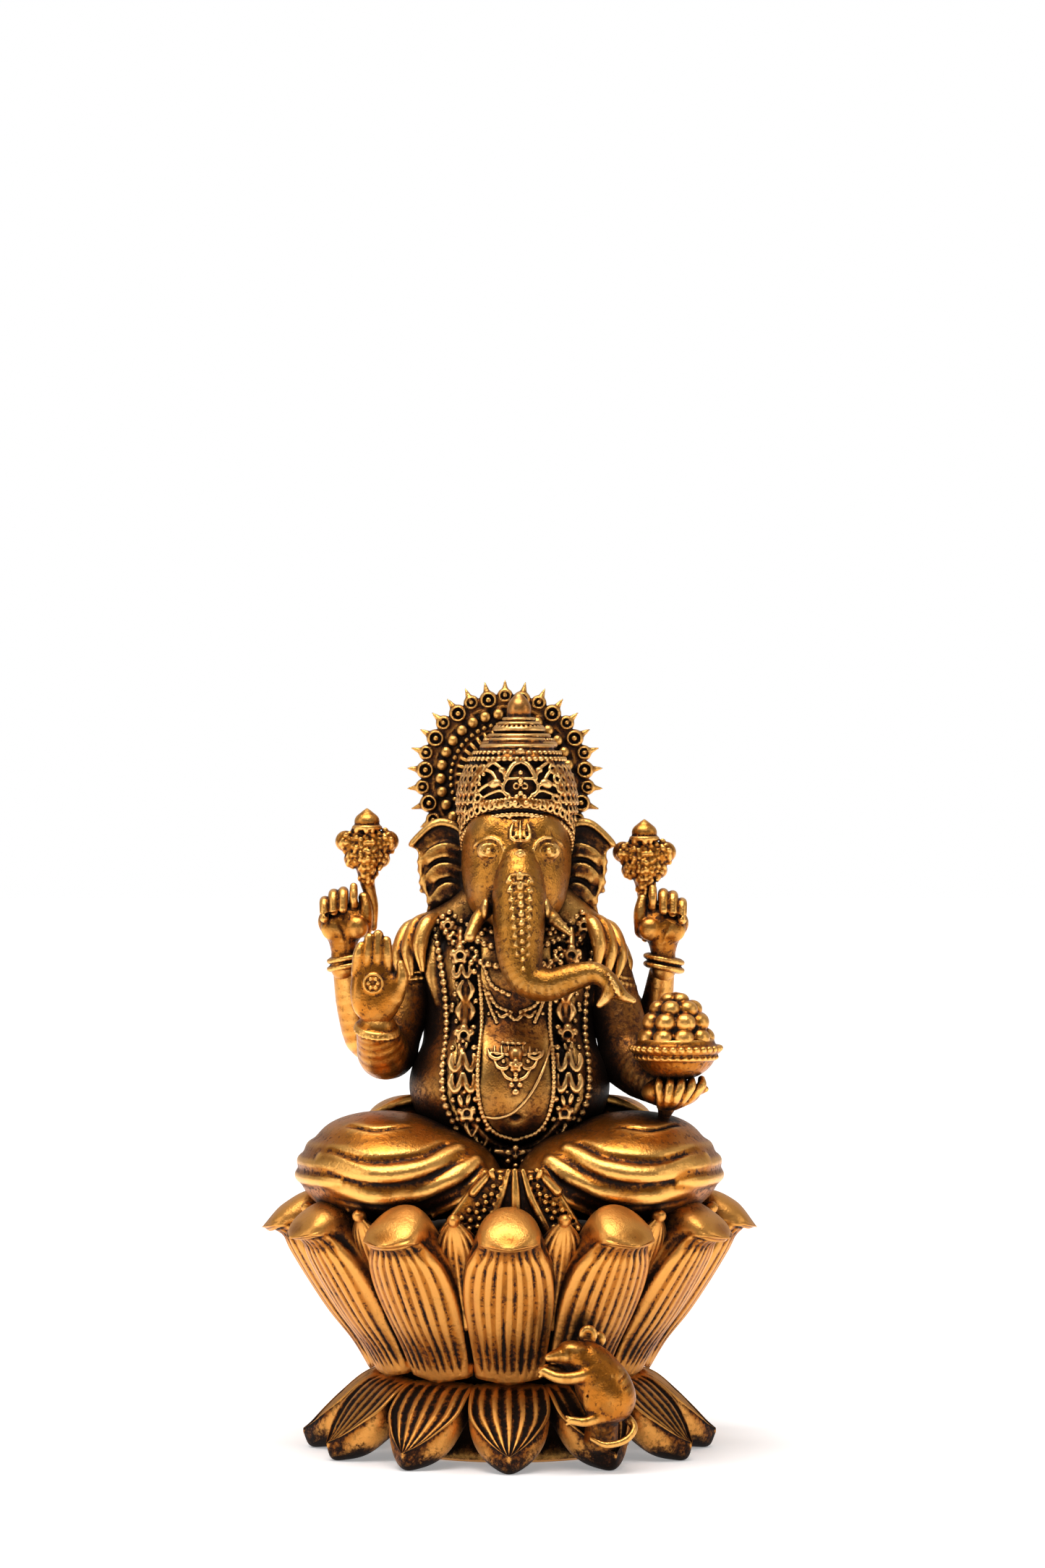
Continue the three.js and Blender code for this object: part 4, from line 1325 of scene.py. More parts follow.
def pendant():
    """The pendant on the belly: a small balcony of lace over a triangle of beads."""
    low, high = cad("pendant")
    body = body_clay(0.3)
    clay = Clay(low - vec(1.0, 1.2, 1.0), high + vec(1.4, 0.8, 1.0), 0.13)

    def hung(points, lift=0.15):
        return body.over([(HEART + x, z) for x, z in points], lift)

    for z, half in ((53.6, 2.7), (52.3, 2.9), (50.9, 3.0)):
        line = hung([(-half, z), (0, z - 0.25), (half, z)])
        clay.limb(line, 0.17, k=0.05)
        bead_row(clay, line, 0.25, 0.62)
    for i in range(7):
        x = -2.7 + 0.9 * i
        clay.limb(hung([(x, 53.4), (x * 0.97, 51.0)]), 0.17, k=0.05)
    for s in (-1, 1):
        clay.limb(
            hung([(s * 3.5, 51.4), (s * 3.2, 50.6), (s * 2.4, 50.2), (s * 1.6, 50.5)]),
            [0.14, 0.26, 0.26, 0.2],
            k=0.06,
        )
        clay.limb(
            hung([(s * 2.7, 50.1), (s * 2.2, 49.2), (s * 1.3, 49.0), (s * 0.8, 49.4)]),
            [0.14, 0.24, 0.24, 0.2],
            k=0.06,
        )
        clay.limb(hung([(s * 1.8, 48.9), (s * 1.2, 48.0), (s * 0.4, 47.6)]), [0.14, 0.24, 0.24], k=0.06)
        clay.bead(hung([(s * 1.5, 49.9)], 0.15)[0], 0.3, 0.08)
        clay.bead(hung([(s * 0.52, 47.0)], 0.2)[0], 0.38, 0.08)
    rosette(clay, hung([(0, 49.4)], 0.4)[0], 0.9, open_middle=False)
    for z, r in ((48.3, 0.34), (47.7, 0.36), (46.1, 0.5)):
        clay.bead(hung([(0, z)], 0.25)[0], r, 0.08)
    clay.limb(hung([(0, 50.8), (0, 46.2)], 0.0), [0.9, 0.35], k=0.1)
    publish("pendant", clay.skin(), JEWEL)


leg("right_leg", RIGHT)
leg("left_leg", LEFT)
dhoti_back()
pleats()
torso()
garland()
pendant()
# ------------------------------------------------------------------ head, trunk, tusks and ears


def head():
    """The face: a tall forehead, full cheeks, outlined eyes and a trident mark."""
    low, high = cad("head")
    clay = Clay(low - 1.0, high + 0.6, 0.19)
    clay.ball(p(0.9, -3.0, 76.0), (6.9, 7.8, 7.6))
    for s in (-1, 1):
        clay.ball(p(HEART + s * 3.3, -4.6, 72.4), (3.3, 5.6, 5.4), k=1.6)
        clay.ball(p(HEART + s * 2.9, -6.4, 78.2), (3.0, 3.6, 3.2), k=1.8)
    clay.limb([p(0.8, -0.5, 70), p(0.8, 0.4, 60)], [5.4, 4.4], k=1.5)
    clay.ball(p(HEART, -6.5, 68.2), (3.4, 3.6, 3.0), k=1.0)
    roots = [
        (1.2, -5.6, 79.6), (1.2, -7.6, 77.4), (1.2, -9.7, 74.8), (1.2, -11.1, 72.2), (1.2, -11.8, 70.0),
    ]
    clay.limb([p(*root) for root in roots], [1.2, 2.0, 2.45, 2.6, 2.2], k=2.4)
    for s in (-1, 1):
        socket = HEART + 0.35 + s * 3.75
        clay.ball(clay.front(socket, 76.1, -0.2), (1.5, 0.7, 1.2), k=0.4)
        for half, tall, r in ((1.12, 0.84, 0.16), (0.7, 0.5, 0.13)):
            angles = np.linspace(0, 2 * math.pi, 13)
            lid = [
                (
                    socket + half * math.cos(a),
                    76.1 + tall * math.sin(a) * (1.0 if math.sin(a) > 0 else 0.8),
                )
                for a in angles
            ]
            clay.limb(clay.over(lid, 0.03), r, k=0.08, steps=30)
        clay.bead(clay.front(socket, 76.1, -0.1), 0.42, k=0.08)
        brow = [
            (socket - s * 1.9, 76.2), (socket - s * 1.3, 77.3), (socket, 77.75),
            (socket + s * 1.5, 77.0), (socket + s * 1.9, 76.5),
        ]
        clay.limb(clay.over(brow, 0.05), [0.12, 0.2, 0.24, 0.2, 0.1], k=0.1, steps=20)
    mark = HEART + 0.56
    clay.limb(clay.over([(mark, 79.9), (mark, 77.4)], 0.2), [0.12, 0.3], k=0.05)
    for s in (-1, 1):
        prong = [
            (mark + s * 0.9, 79.5), (mark + s * 1.15, 78.7), (mark + s * 1.15, 77.8),
            (mark + s * 0.6, 77.4), (mark, 77.4),
        ]
        clay.limb(clay.over(prong, 0.2), [0.14, 0.24, 0.24, 0.22, 0.22], k=0.05, steps=16)
        clay.limb(
            clay.over([(mark + s * 0.5, 78.9), (mark + s * 0.55, 77.9)], 0.15), [0.1, 0.24], k=0.05,
        )
    clay.ring(clay.front(mark, 75.6, 0.05), (0, 1, 0.3), 0.62, 0.16, k=0.08)
    clay.bead(clay.front(mark, 75.6, 0.1), 0.45, k=0.05)
    publish("head", clay.skin(), BRASSY)


def trunk():
    """The trunk, hanging straight, then swung to the bowl, with a flared tip and a beaded front."""
    low, high = cad("trunk")
    clay = Clay(low - 1.3, high + 1.2, 0.16)
    path = [
        ((1.2, -6.4, 78.6), 0.9), ((1.2, -8.4, 76.8), 1.7), ((1.2, -10.0, 74.2), 2.75),
        ((1.25, -11.9, 70.4), 3.4), ((1.2, -13.1, 66.4), 3.2),
        ((1.4, -13.9, 62.6), 2.75), ((2.4, -14.6, 60.2), 2.3), ((5.0, -15.2, 59.5), 2.05),
        ((7.8, -15.5, 60.4), 1.75),
        ((10.4, -15.7, 61.0), 1.4), ((12.2, -16.1, 60.1), 1.2), ((13.2, -16.5, 58.8), 1.05),
    ]
    clay.limb([p(*point) for point, _ in path], [r for _, r in path], steps=44)
    clay.limb(
        [p(12.9, -16.6, 59.4), p(14.0, -16.8, 58.3), p(15.4, -16.8, 57.6)], [0.95, 0.75, 0.38], k=0.4,
    )
    clay.limb(
        [p(12.6, -16.5, 59.2), p(12.0, -16.7, 58.0), p(11.2, -16.7, 57.1)], [0.95, 0.7, 0.42], k=0.4,
    )
    clay.limb([p(13.2, -17.6, 57.0), p(13.1, -17.6, 58.4)], [0.7, 0.2], k=0.2, cut=True)
    clay.limb(
        [p(12.6, -17.3, 60.6), p(13.3, -17.7, 59.2), p(13.6, -17.5, 58.3)], [0.2, 0.34, 0.2], k=0.15,
    )
    for i in range(5):
        clay.bead(p(12.3 + 0.25 * i, -17.4 - 0.08 * i, 60.9 - 0.55 * i), 0.26, k=0.08)
    crest = HEART + 0.5
    for i in range(11):
        size = 1.15 - 0.07 * i
        z = 72.8 - 1.12 * i
        lean = 0.045 * i
        clay.bead(clay.front(crest + lean, z, 0.02), 0.46 * size, k=0.12)
        if i < 9:
            for s in (-1, 1):
                clay.bead(clay.front(crest + lean + s * 1.0 * size, z - 0.5, 0.0), 0.3 * size, k=0.12)
                arc = [
                    (crest + lean + s * 0.1, z + 0.5), (crest + lean + s * 0.9 * size, z + 0.25),
                    (crest + lean + s * 1.35 * size, z - 0.5),
                ]
                clay.limb(clay.over(arc, 0.0), 0.2 * size, k=0.12)
    publish("trunk", clay.skin(), BRASSY)


def tusk(node, side, reach, tip):
    """A tusk in its sheath beside the trunk, pointing forward, down and out."""
    low, high = cad(node)
    clay = Clay(low - 0.8, high + 1.0, 0.14)
    root = p(HEART + side * 3.7, -11.4, 68.7)
    clay.ball(root + p(side * 0.15, -0.6, 0.1), (0.62, 1.3, 1.5), turn=(0, side * -6, 0))
    clay.limb([root, root + p(side * 1.0, -1.0, -1.1), p(*reach)], [0.95, 0.9, tip], k=0.15)
    publish(node, clay.skin(), BRASSY)


def ear(node, side):
    """A fan-shaped ear: a rolled rim that flares at its tip and foot, round three terraced folds."""
    low, high = cad(node)
    clay = Clay(low - vec(1.4, 2.2, 1.8), high + vec(1.4, 1.2, 1.6), 0.18)

    def drawn(*points):
        return mirrored(list(points), side, 0.35)

    outline = loop_curve(drawn(
        (-6.0, 79.2), (-7.9, 80.1), (-9.5, 80.0), (-11.0, 79.0), (-12.9, 76.8), (-11.7, 75.9),
        (-11.5, 73.2), (-10.8, 70.6),
        (-10.0, 68.9), (-11.5, 66.9), (-9.6, 67.1), (-7.6, 68.0), (-5.7, 69.8), (-5.3, 73.8),
        (-5.5, 77.0),
    ))
    clay.slab(outline, -0.9, 1.9, rounding=0.6)
    heart = outline.mean(axis=0)
    clay.slab(heart + (outline - heart) * 0.84, -2.3, 2.2, k=0.3, rounding=0.4, cut=True)
    terraces = [
        ([(-11.4, 74.6), (-10.0, 76.0), (-8.2, 76.6), (-6.2, 76.2)], 0.8),
        ([(-11.2, 72.0), (-9.6, 73.7), (-8.0, 74.1), (-6.2, 73.6)], 0.85),
        ([(-10.2, 69.6), (-9.0, 71.1), (-7.6, 71.6), (-6.0, 71.0)], 0.85),
    ]
    for points, radius in terraces:
        clay.limb([p(x, -1.2, z) for x, z in drawn(*points)], [0.4, radius, radius, 0.5], k=0.3)
        clay.limb([p(x, -0.9, z - 1.1) for x, z in drawn(*points)], [0.3, 1.1, 1.1, 0.4], k=0.5)
        clay.limb(
            [p(x, -1.7, z + 0.75) for x, z in drawn(*points)], [0.1, 0.3, 0.3, 0.1], k=0.25, cut=True,
        )
    rolled = [
        (
            [
                (-13.0, 76.5, -2.3), (-11.6, 78.4, -2.6), (-9.6, 79.8, -2.6), (-7.7, 80.1, -2.5),
                (-6.0, 79.3, -2.2),
            ],
            [0.35, 0.75, 1.0, 0.85, 0.5],
        ),
        (
            [(-5.9, 79.2, -2.0), (-5.5, 76.4, -2.4), (-5.3, 72.8, -2.4), (-5.9, 69.8, -2.4)],
            [0.5, 0.5, 0.45, 0.55],
        ),
        (
            [(-5.9, 69.8, -2.4), (-7.6, 68.3, -2.7), (-9.6, 67.4, -2.6), (-11.6, 66.9, -1.8)],
            [0.5, 0.65, 0.6, 0.35],
        ),
        (
            [(-11.8, 76.0, -1.6), (-11.5, 73.3, -1.7), (-10.7, 70.6, -1.8), (-10.0, 68.6, -2.0)],
            [0.4, 0.42, 0.42, 0.4],
        ),
    ]
    for points, radii in rolled:
        clay.limb([p(*point) for point in drawn(*points)], radii, k=0.35)
    publish(node, clay.skin(), BRONZED)


# ------------------------------------------------------------------ crown and halo


SINK = 0.6  # depth of the dark ground behind the crown's open front


# Half of the open work on the front of the crown, as (x, z) points from its middle line and a radius.
CROWN_BARS = [
    ([(0, 87.3), (0.9, 86.9), (1.5, 86.0), (1.9, 85.2)], 0.32),
    ([(0, 85.2), (1.7, 85.1)], 0.2),
    ([(1.6, 85.2), (2.2, 84.2), (1.9, 83.2), (0.9, 82.6)], 0.22),
    ([(2.2, 84.2), (3.2, 84.7), (4.6, 84.1), (5.6, 83.2)], 0.24),
    ([(3.0, 85.0), (3.7, 86.0), (5.0, 86.2)], 0.24),
    ([(1.9, 85.4), (2.4, 86.4), (3.4, 87.2)], 0.24),
    ([(1.4, 83.1), (2.6, 83.6), (3.9, 83.2), (5.2, 82.4)], 0.2),
    ([(0.5, 82.5), (2.4, 82.4), (5.0, 82.3)], 0.24),
    ([(0.0, 88.2), (2.2, 87.8), (4.0, 86.8), (5.4, 85.2), (6.2, 83.6)], 0.3),
]
CROWN_BEADS = [
    (0.0, 85.9, 0.3), (0.0, 84.9, 0.34), (0.0, 84.4, 0.26), (0.5, 82.9, 0.3), (0.0, 83.3, 0.34),
    (0.7, 82.1, 0.36),
]


def crown_bands(clay, around, brow):
    """Beaded bands along the brow and round the top."""
    circle = np.linspace(-math.pi, math.pi, 73)
    for rise, r, beads in ((0.15, 0.36, 74), (1.0, 0.2, 0), (2.1, 0.26, 96)):
        loop = [around(a, brow(a) + rise, 0.15) for a in circle]
        clay.limb(loop, r * 0.8, steps=144)
        for a in np.linspace(-math.pi, math.pi, beads, endpoint=False) if beads else []:
            clay.bead(around(a, brow(a) + rise, 0.25), r, 0.06)
    for a in np.linspace(-math.pi, math.pi, 44, endpoint=False):
        clay.ring(around(a, brow(a) + 1.5, 0.35), (math.sin(a), -math.cos(a), 0.1), 0.42, 0.18, 0.05)
    for z, r, count in ((90.0, 0.42, 0), (89.2, 0.42, 0), (88.4, 0.32, 44), (87.6, 0.36, 48)):
        clay.limb([around(a, z, 0.1) for a in circle], r * 0.8, steps=120)
        for a in np.linspace(-math.pi, math.pi, count, endpoint=False) if count else []:
            clay.bead(around(a, z, 0.3), r, 0.06)


def crown_rings(clay, around, brow):
    """Rows of rings at the sides and the back."""
    rows = [(86.3 - 1.22 * i, 34 + 2 * min(i, 3), 0.5 * (i % 2)) for i in range(8)]
    for z, count, shift in rows:
        for i in range(count):
            a = -math.pi + 2 * math.pi * (i + shift) / count
            if abs(a) > 0.68 and z > brow(a) + 2.8:
                clay.ring(around(a, z, 0.2), (math.sin(a), -math.cos(a), 0.3), 0.5, 0.2, 0.05)
                clay.bead(around(a + math.pi / count, z - 0.65, 0.25), 0.27, 0.05)


def crown_lattice(clay, laid, centre, across):
    """Leaves, scrolls and beads on the front."""
    for s in (-1, 1):
        for points, r in CROWN_BARS:
            bar = laid([(s * x, z) for x, z in points])
            clay.limb(bar, r, 0.08)
            for end in (bar[0], bar[-1]):
                clay.ball(end + 0.25 * (centre - end) / across, (0.34, 0.5, 0.34), 0.08)
        clay.ball(laid([(s * 3.2, 84.5)])[0], (0.85, 0.5, 0.6), k=0.15, turn=(0, s * 20, s * 24))
        clay.ball(laid([(s * 2.3, 86.2)])[0], (0.5, 0.4, 0.42), k=0.12)
        clay.ring(laid([(s * 0.52, 84.2)])[0], (s * 0.1, -1, 0), 0.34, 0.15, 0.04)
        for x, z, r in CROWN_BEADS:
            clay.bead(laid([(s * x, z)], 0.4)[0], r, 0.06)
        arch = [(0.6, 88.5), (2.6, 87.9), (4.6, 86.6), (5.9, 84.9), (6.7, 83.2)]
        bead_row(clay, laid([(s * x, z) for x, z in arch]), 0.28, 0.72)
        bead_row(clay, laid([(s * 1.2, 82.0), (s * 3.0, 81.8), (s * 5.0, 81.6)], 0.35), 0.3, 0.62)
    clay.bead(laid([(0, 88.6)], 0.45)[0], 0.45, 0.1)


def crown():
    """The crown: a dark dome under an open lattice of beads, leaves and scrolls."""
    low, high = cad("crown")
    clay = Clay(low - 0.9, high + 0.9, 0.155)
    centre, across, waist = p(0.95, -2.4, 0), 7.35, 82.0

    def radius(z):
        tall = np.clip((z - waist) / 8.9, 0, 0.97)
        return across * np.sqrt(1 - tall**2) - 0.13 * np.clip(waist - z, 0, 8)

    def around(angle, z, lift=0.0):
        r = float(radius(z)) + lift
        return centre + p(r * math.sin(angle), -r * math.cos(angle), z)

    def brow(angle):
        return 80.5 - 5.2 * np.clip(np.abs(angle) / 1.75, 0, 1) ** 2

    def dome(x, y, z):
        flat = np.sqrt((x - centre[0]) ** 2 + (y - centre[1]) ** 2)
        angle = np.arctan2(x - centre[0], -(y - centre[1]))
        sunk = SINK * np.clip((0.85 - np.abs(angle)) / 0.15, 0, 1) * np.clip((87.6 - z) / 0.5, 0, 1)
        wall = (flat - radius(z) + sunk * np.clip((z - brow(angle) - 2.0) / 0.5, 0, 1)) * 0.9
        return np.maximum(wall, np.maximum(brow(angle) - z, z - high[2])).astype(F32)

    clay.put(dome, low - 0.5, high + 0.2)
    def laid(points, lift=0.1):
        line = []
        for dx, z in points:
            a = math.asin(max(-0.98, min(0.98, (1.4 + dx - centre[0]) / (float(radius(z)) + lift))))
            line.append(around(a, z, lift))
        return line

    crown_bands(clay, around, brow)
    crown_rings(clay, around, brow)
    crown_lattice(clay, laid, centre, across)
    publish("crown", clay.skin(), JEWEL)


def crown_finial():
    """Two beaded tiers and a bulb on top of the crown."""
    low, high = cad("crown_finial")
    clay = Clay(low - 0.7, high + 0.5, 0.145)
    c = p(*((low + high) / 2)[:2], 0)
    tiers = (
        (89.5, 4.5, 0.55), (90.5, 3.7, 0.5), (91.4, 3.05, 0.45), (92.1, 2.45, 0.4), (92.7, 1.9, 0.35),
    )
    for z, r, thick in tiers:
        clay.ball(c + p(0, 0, z - 0.2), (r, r, 0.9), k=0.25)
        clay.ring(c + p(0, 0, z), (0, 0, 1), r, 0.8 * thick, k=0.1)
    clay.ball(c + p(0, 0, 93.9), (1.55, 1.55, 1.85), k=0.15)
    clay.ball(c + p(0, 0, 95.4), (0.55, 0.55, 0.7), k=0.5)
    for z, r, bead, count in ((90.05, 4.35, 0.27, 42), (91.75, 2.95, 0.24, 30)):
        for i in range(count):
            a = 2 * math.pi * i / count
            clay.bead(c + p(r * math.cos(a), r * math.sin(a), z), bead, 0.05)
    publish("crown_finial", clay.skin(), JEWEL)


def halo():
    """The halo: an oval plate with beads and cups, and a ring of small spikes."""
    low, high = cad("halo")
    c = p(-0.6, 7.0, 85.2)
    clay = Clay(c - vec(13.2, 5.6, 13.2), c + vec(13.2, 1.9, 13.2), 0.165)

    def plate(x, y, z):
        flat = np.sqrt((x - c[0]) ** 2 + (z - c[2]) ** 2) - 10.5
        deep = np.abs(y - c[1] - 0.3) - 0.75
        return np.maximum(flat, deep).astype(F32)

    clay.put(plate, c - 11, c + 11)

    def at(angle, r, y=0.0):
        return c + p(r * math.sin(angle), y, r * math.cos(angle))

    for i in range(48):
        clay.bead(at(2 * math.pi * i / 48, 7.0, -0.5), 0.36, 0.08)
    for i in range(36):
        a = 2 * math.pi * (i + 0.5) / 36
        clay.ball(at(a, 5.7, -0.5), (0.3, 0.4, 0.75), k=0.08, turn=(0, math.degrees(a), 0))
    for i in range(30):
        a = 2 * math.pi * i / 30
        clay.bead(at(a + math.pi / 30, 8.3, -0.45), 0.78, 0.1)
        if i % 2:
            clay.ball(at(a, 10.3, -0.1), (1.2, 1.2, 1.2), k=0.12)
            clay.ball(at(a, 10.3, -1.3), (0.85, 1.15, 0.85), cut=True)
            clay.bead(at(a, 10.3, -0.5), 0.42, 0.05)
        else:
            clay.ball(at(a, 10.6, 0.0), (1.05, 0.9, 1.05), k=0.12)
            clay.ball(at(a, 10.7, -1.0), (0.66, 1.0, 0.66), cut=True)
            clay.bead(at(a, 10.7, -0.3), 0.34, 0.05)
        clay.limb([at(a, 11.2), at(a, 12.6)], [0.5, 0.12], k=0.12)
    for r in (9.2, 6.4):
        clay.ring(c + p(0, -0.4, 0), (0, 1, 0), r, 0.2, k=0.1)
    for r, thick in ((9.9, 0.3), (8.9, 0.22), (3.0, 0.3)):
        clay.ring(c + p(0, 1.05, 0), (0, 1, 0), r, thick, k=0.15)
    for i in range(16):
        a = 2 * math.pi * i / 16
        clay.ball(at(a, 5.9, 1.0), (1.0, 0.42, 2.5), k=0.15, turn=(0, math.degrees(a), 0))
        clay.limb([at(a, 4.6, 1.35), at(a, 7.4, 1.35)], [0.22, 0.12], k=0.1, cut=True)
    clay.ball(c + p(0, 1.0, 0), (1.7, 0.7, 1.7), k=0.2)
    for back, stem, r in (
        ((1.6, 2.2, 81.8), (1.0, 6.4, 81.8), 2.6), ((1.4, 1.6, 77.2), (1.0, 6.4, 77.6), 2.0),
    ):
        clay.limb([p(*back), p(*stem)], [0.8 * r, r], k=0.4)
    publish("halo", clay.skin(), BRONZED)


head()
trunk()
tusk("right_tusk", RIGHT, (-4.9, -14.0, 65.5), 0.72)
tusk("left_tusk", LEFT, (7.6, -13.6, 65.8), 0.3)
ear("right_ear", RIGHT)
ear("left_ear", LEFT)
crown()
crown_finial()
halo()
# ------------------------------------------------------------------ arms and hands


def front_arm(node, side, upper, fore):
    """Upper arm and forearm of a front arm, with a beaded armlet."""
    low, high = cad(node)
    clay = Clay(low - 1.2, high + 1.4, 0.22)
    clay.limb([p(*point) for point, _ in upper], [r for _, r in upper])
    clay.limb([p(*point) for point, _ in fore], [r for _, r in fore], k=1.0)
    middle_arm = (np.array(upper[1][0]) * 0.72 + np.array(upper[0][0]) * 0.28)
    across = p(side * 0.16, 0.12, 1)
    for lift, r, bead, count in ((-0.8, 3.15, 0.26, 40), (0, 3.2, 0.42, 28), (0.8, 3.2, 0.26, 40)):
        band_of_beads(clay, middle_arm + p(side * -0.15 * lift, 0, lift), across, r, bead, count)
    return clay


def band_of_beads(clay, centre, axis, radius, bead, count, core=0.7):
    """A thin hoop carrying beads all round, its axis along axis."""
    n = np.asarray(axis, float) / np.linalg.norm(axis)
    one = np.cross(n, (0, 1, 0))
    one /= np.linalg.norm(one)
    two = np.cross(n, one)
    clay.ring(centre, n, radius, bead * core, k=0.1)
    for i in range(count):
        a = 2 * math.pi * i / count
        clay.bead(centre + radius * (math.cos(a) * one + math.sin(a) * two), bead, 0.06)


def front_arms():
    clay = front_arm(
        "right_front_arm", RIGHT,
        [((-11.4, -0.2, 63.6), 3.1), ((-12.9, -1.2, 57.8), 3.2), ((-15.0, -3.6, 51.4), 3.4)],
        [((-15.4, -4.2, 50.6), 3.5), ((-15.9, -7.4, 50.8), 3.3), ((-16.6, -10.2, 53.6), 2.6)],
    )
    wrist, lean = p(-16.6, -10.5, 53.9), p(0.12, -0.35, 1)
    clay.ring(wrist, lean, 2.45, 0.42, k=0.2)
    band_of_beads(clay, wrist - p(0, 0.1, 0.35), lean, 2.7, 0.3, 26)
    publish("right_front_arm", clay.skin(), ANTIQUE)
    clay = front_arm(
        "left_front_arm", LEFT,
        [((11.6, -0.2, 63.6), 3.1), ((13.1, -1.2, 57.4), 3.3), ((14.9, -3.0, 50.6), 3.4)],
        [((15.0, -3.2, 49.4), 3.6), ((16.6, -6.2, 48.0), 3.2), ((18.8, -9.2, 46.6), 2.5)],
    )
    publish("left_front_arm", clay.skin(), BRONZED)


def rear_arm(node, points):
    """A raised rear arm, bent at the elbow."""
    low, high = cad(node)
    clay = Clay(low - 1.2, high + 1.2, 0.25)
    clay.limb([p(*point) for point, _ in points], [r for _, r in points])
    publish(node, clay.skin(), ANTIQUE)


def stole(node, side):
    """A scarf in rolls over a shoulder."""
    low, high = cad(node)
    clay = Clay(low - vec(1.4, 1.8, 3.4), high + vec(1.6, 1.0, 1.0), 0.22)
    rolls = [
        ([(8.4, -1.6, 67.8), (10.4, -4.0, 66.8), (11.3, -5.2, 64.2), (11.0, -5.6, 61.0)], 1.0),
        ([(9.0, 0.2, 67.9), (11.7, -2.4, 66.6), (12.7, -4.2, 63.6), (12.4, -4.9, 60.4)], 1.05),
        ([(9.6, 2.0, 67.2), (12.8, -0.2, 66.0), (14.0, -2.6, 62.9), (13.6, -3.8, 60.0)], 1.05),
        ([(9.8, 3.6, 66.0), (13.2, 2.0, 64.8), (14.8, -0.6, 61.8), (14.6, -2.2, 59.4)], 0.95),
    ]
    for points, r in rolls:
        clay.limb([p(side * x, y, z) for x, y, z in points], [0.6 * r, r, r, 0.35 * r], k=0.55, steps=18)
    publish(node, clay.skin(), ANTIQUE)


def bangle(node, side):
    """A bangle of two hoops, one of them beaded, a little aslant."""
    low, high = cad(node)
    clay = Clay(low - 1.0, high + 1.2, 0.15)
    c = (low + high) / 2 + p(0, 0, 0.2)
    lean = p(side * 0.2, 0, 1)
    for lift in (-0.5, 0.5):
        clay.ring(c + p(0, 0, lift), lean, 2.0, 0.5, k=0.15)
        band_of_beads(clay, c + p(0, 0, lift), lean, 2.35, 0.36, 30, core=0.9)
    publish(node, clay.skin(), ANTIQUE)


def fist(node, side):
    """A rear hand closed on the stalk of its emblem: curled fingers over a rounded palm."""
    low, high = cad(node)
    clay = Clay(low - vec(1.6, 1.6, 0.8), high + vec(1.6, 1.4, 1.8), 0.16)
    s = side
    wrist = p((low[0] + high[0]) / 2 + (0.1 if s == RIGHT else -0.8), 0.5, low[2] + 0.2)
    clay.limb([wrist, wrist + p(0, 0.1, 2.2), wrist + p(0, 0, 4.6)], [1.6, 1.55, 2.1])
    clay.ball(wrist + p(s * -0.1, 0.1, 5.9), (3.35, 1.9, 2.5), k=0.8)
    clay.ball(wrist + p(s * 1.2, -1.2, 5.1), (1.6, 1.0, 1.6), k=0.35, turn=(0, s * -15, 0))
    clay.ball(wrist + p(s * -1.7, -1.4, 5.2), (1.5, 1.1, 1.5), k=0.35, turn=(0, s * 25, 0))
    for x, top, r in ((2.35, 8.3, 0.68), (1.2, 9.2, 0.7), (0.0, 9.5, 0.68)):
        curl = [
            wrist + p(s * x, 1.2, top - 1.8), wrist + p(s * x, 0.8, top), wrist + p(s * x, -1.2, top),
            wrist + p(s * x, -2.1, top - 1.9),
        ]
        clay.limb(curl, [r, r, r, 0.85 * r], k=0.1, steps=12)
    index = wrist + p(s * -1.35, 0, 0)
    clay.limb(
        [index + p(0, 0.4, 7.0), index + p(0, -1.4, 8.6), index + p(0, -1.0, 10.4)],
        [0.7, 0.6, 0.5],
        k=0.1,
    )
    clay.limb(
        [wrist + p(s * -2.6, -0.4, 5.0), wrist + p(s * -2.9, -0.6, 7.2), wrist + p(s * -2.6, -0.2, 9.0)],
        [1.1, 0.9, 0.7],
        k=0.25,
    )
    clay.limb(
        [index + p(s * -0.75, -1.5, 9.0), index + p(s * -0.7, -1.9, 7.0)], [0.25, 0.4], k=0.2, cut=True,
    )
    crease = [
        wrist + p(s * 1.7, -2.4, 6.9), wrist + p(s * 0.2, -2.3, 5.4), wrist + p(s * -0.3, -2.0, 3.6),
    ]
    clay.limb(crease, [0.2, 0.35, 0.15], k=0.25, cut=True)
    clay.limb(
        [wrist + p(s * 2.9, -2.0, 6.7), wrist + p(s * 0.6, -2.6, 6.9), wrist + p(s * -0.9, -2.4, 6.7)],
        [0.2, 0.35, 0.3],
        k=0.2,
        cut=True,
    )
    publish(node, clay.skin(), ANTIQUE)


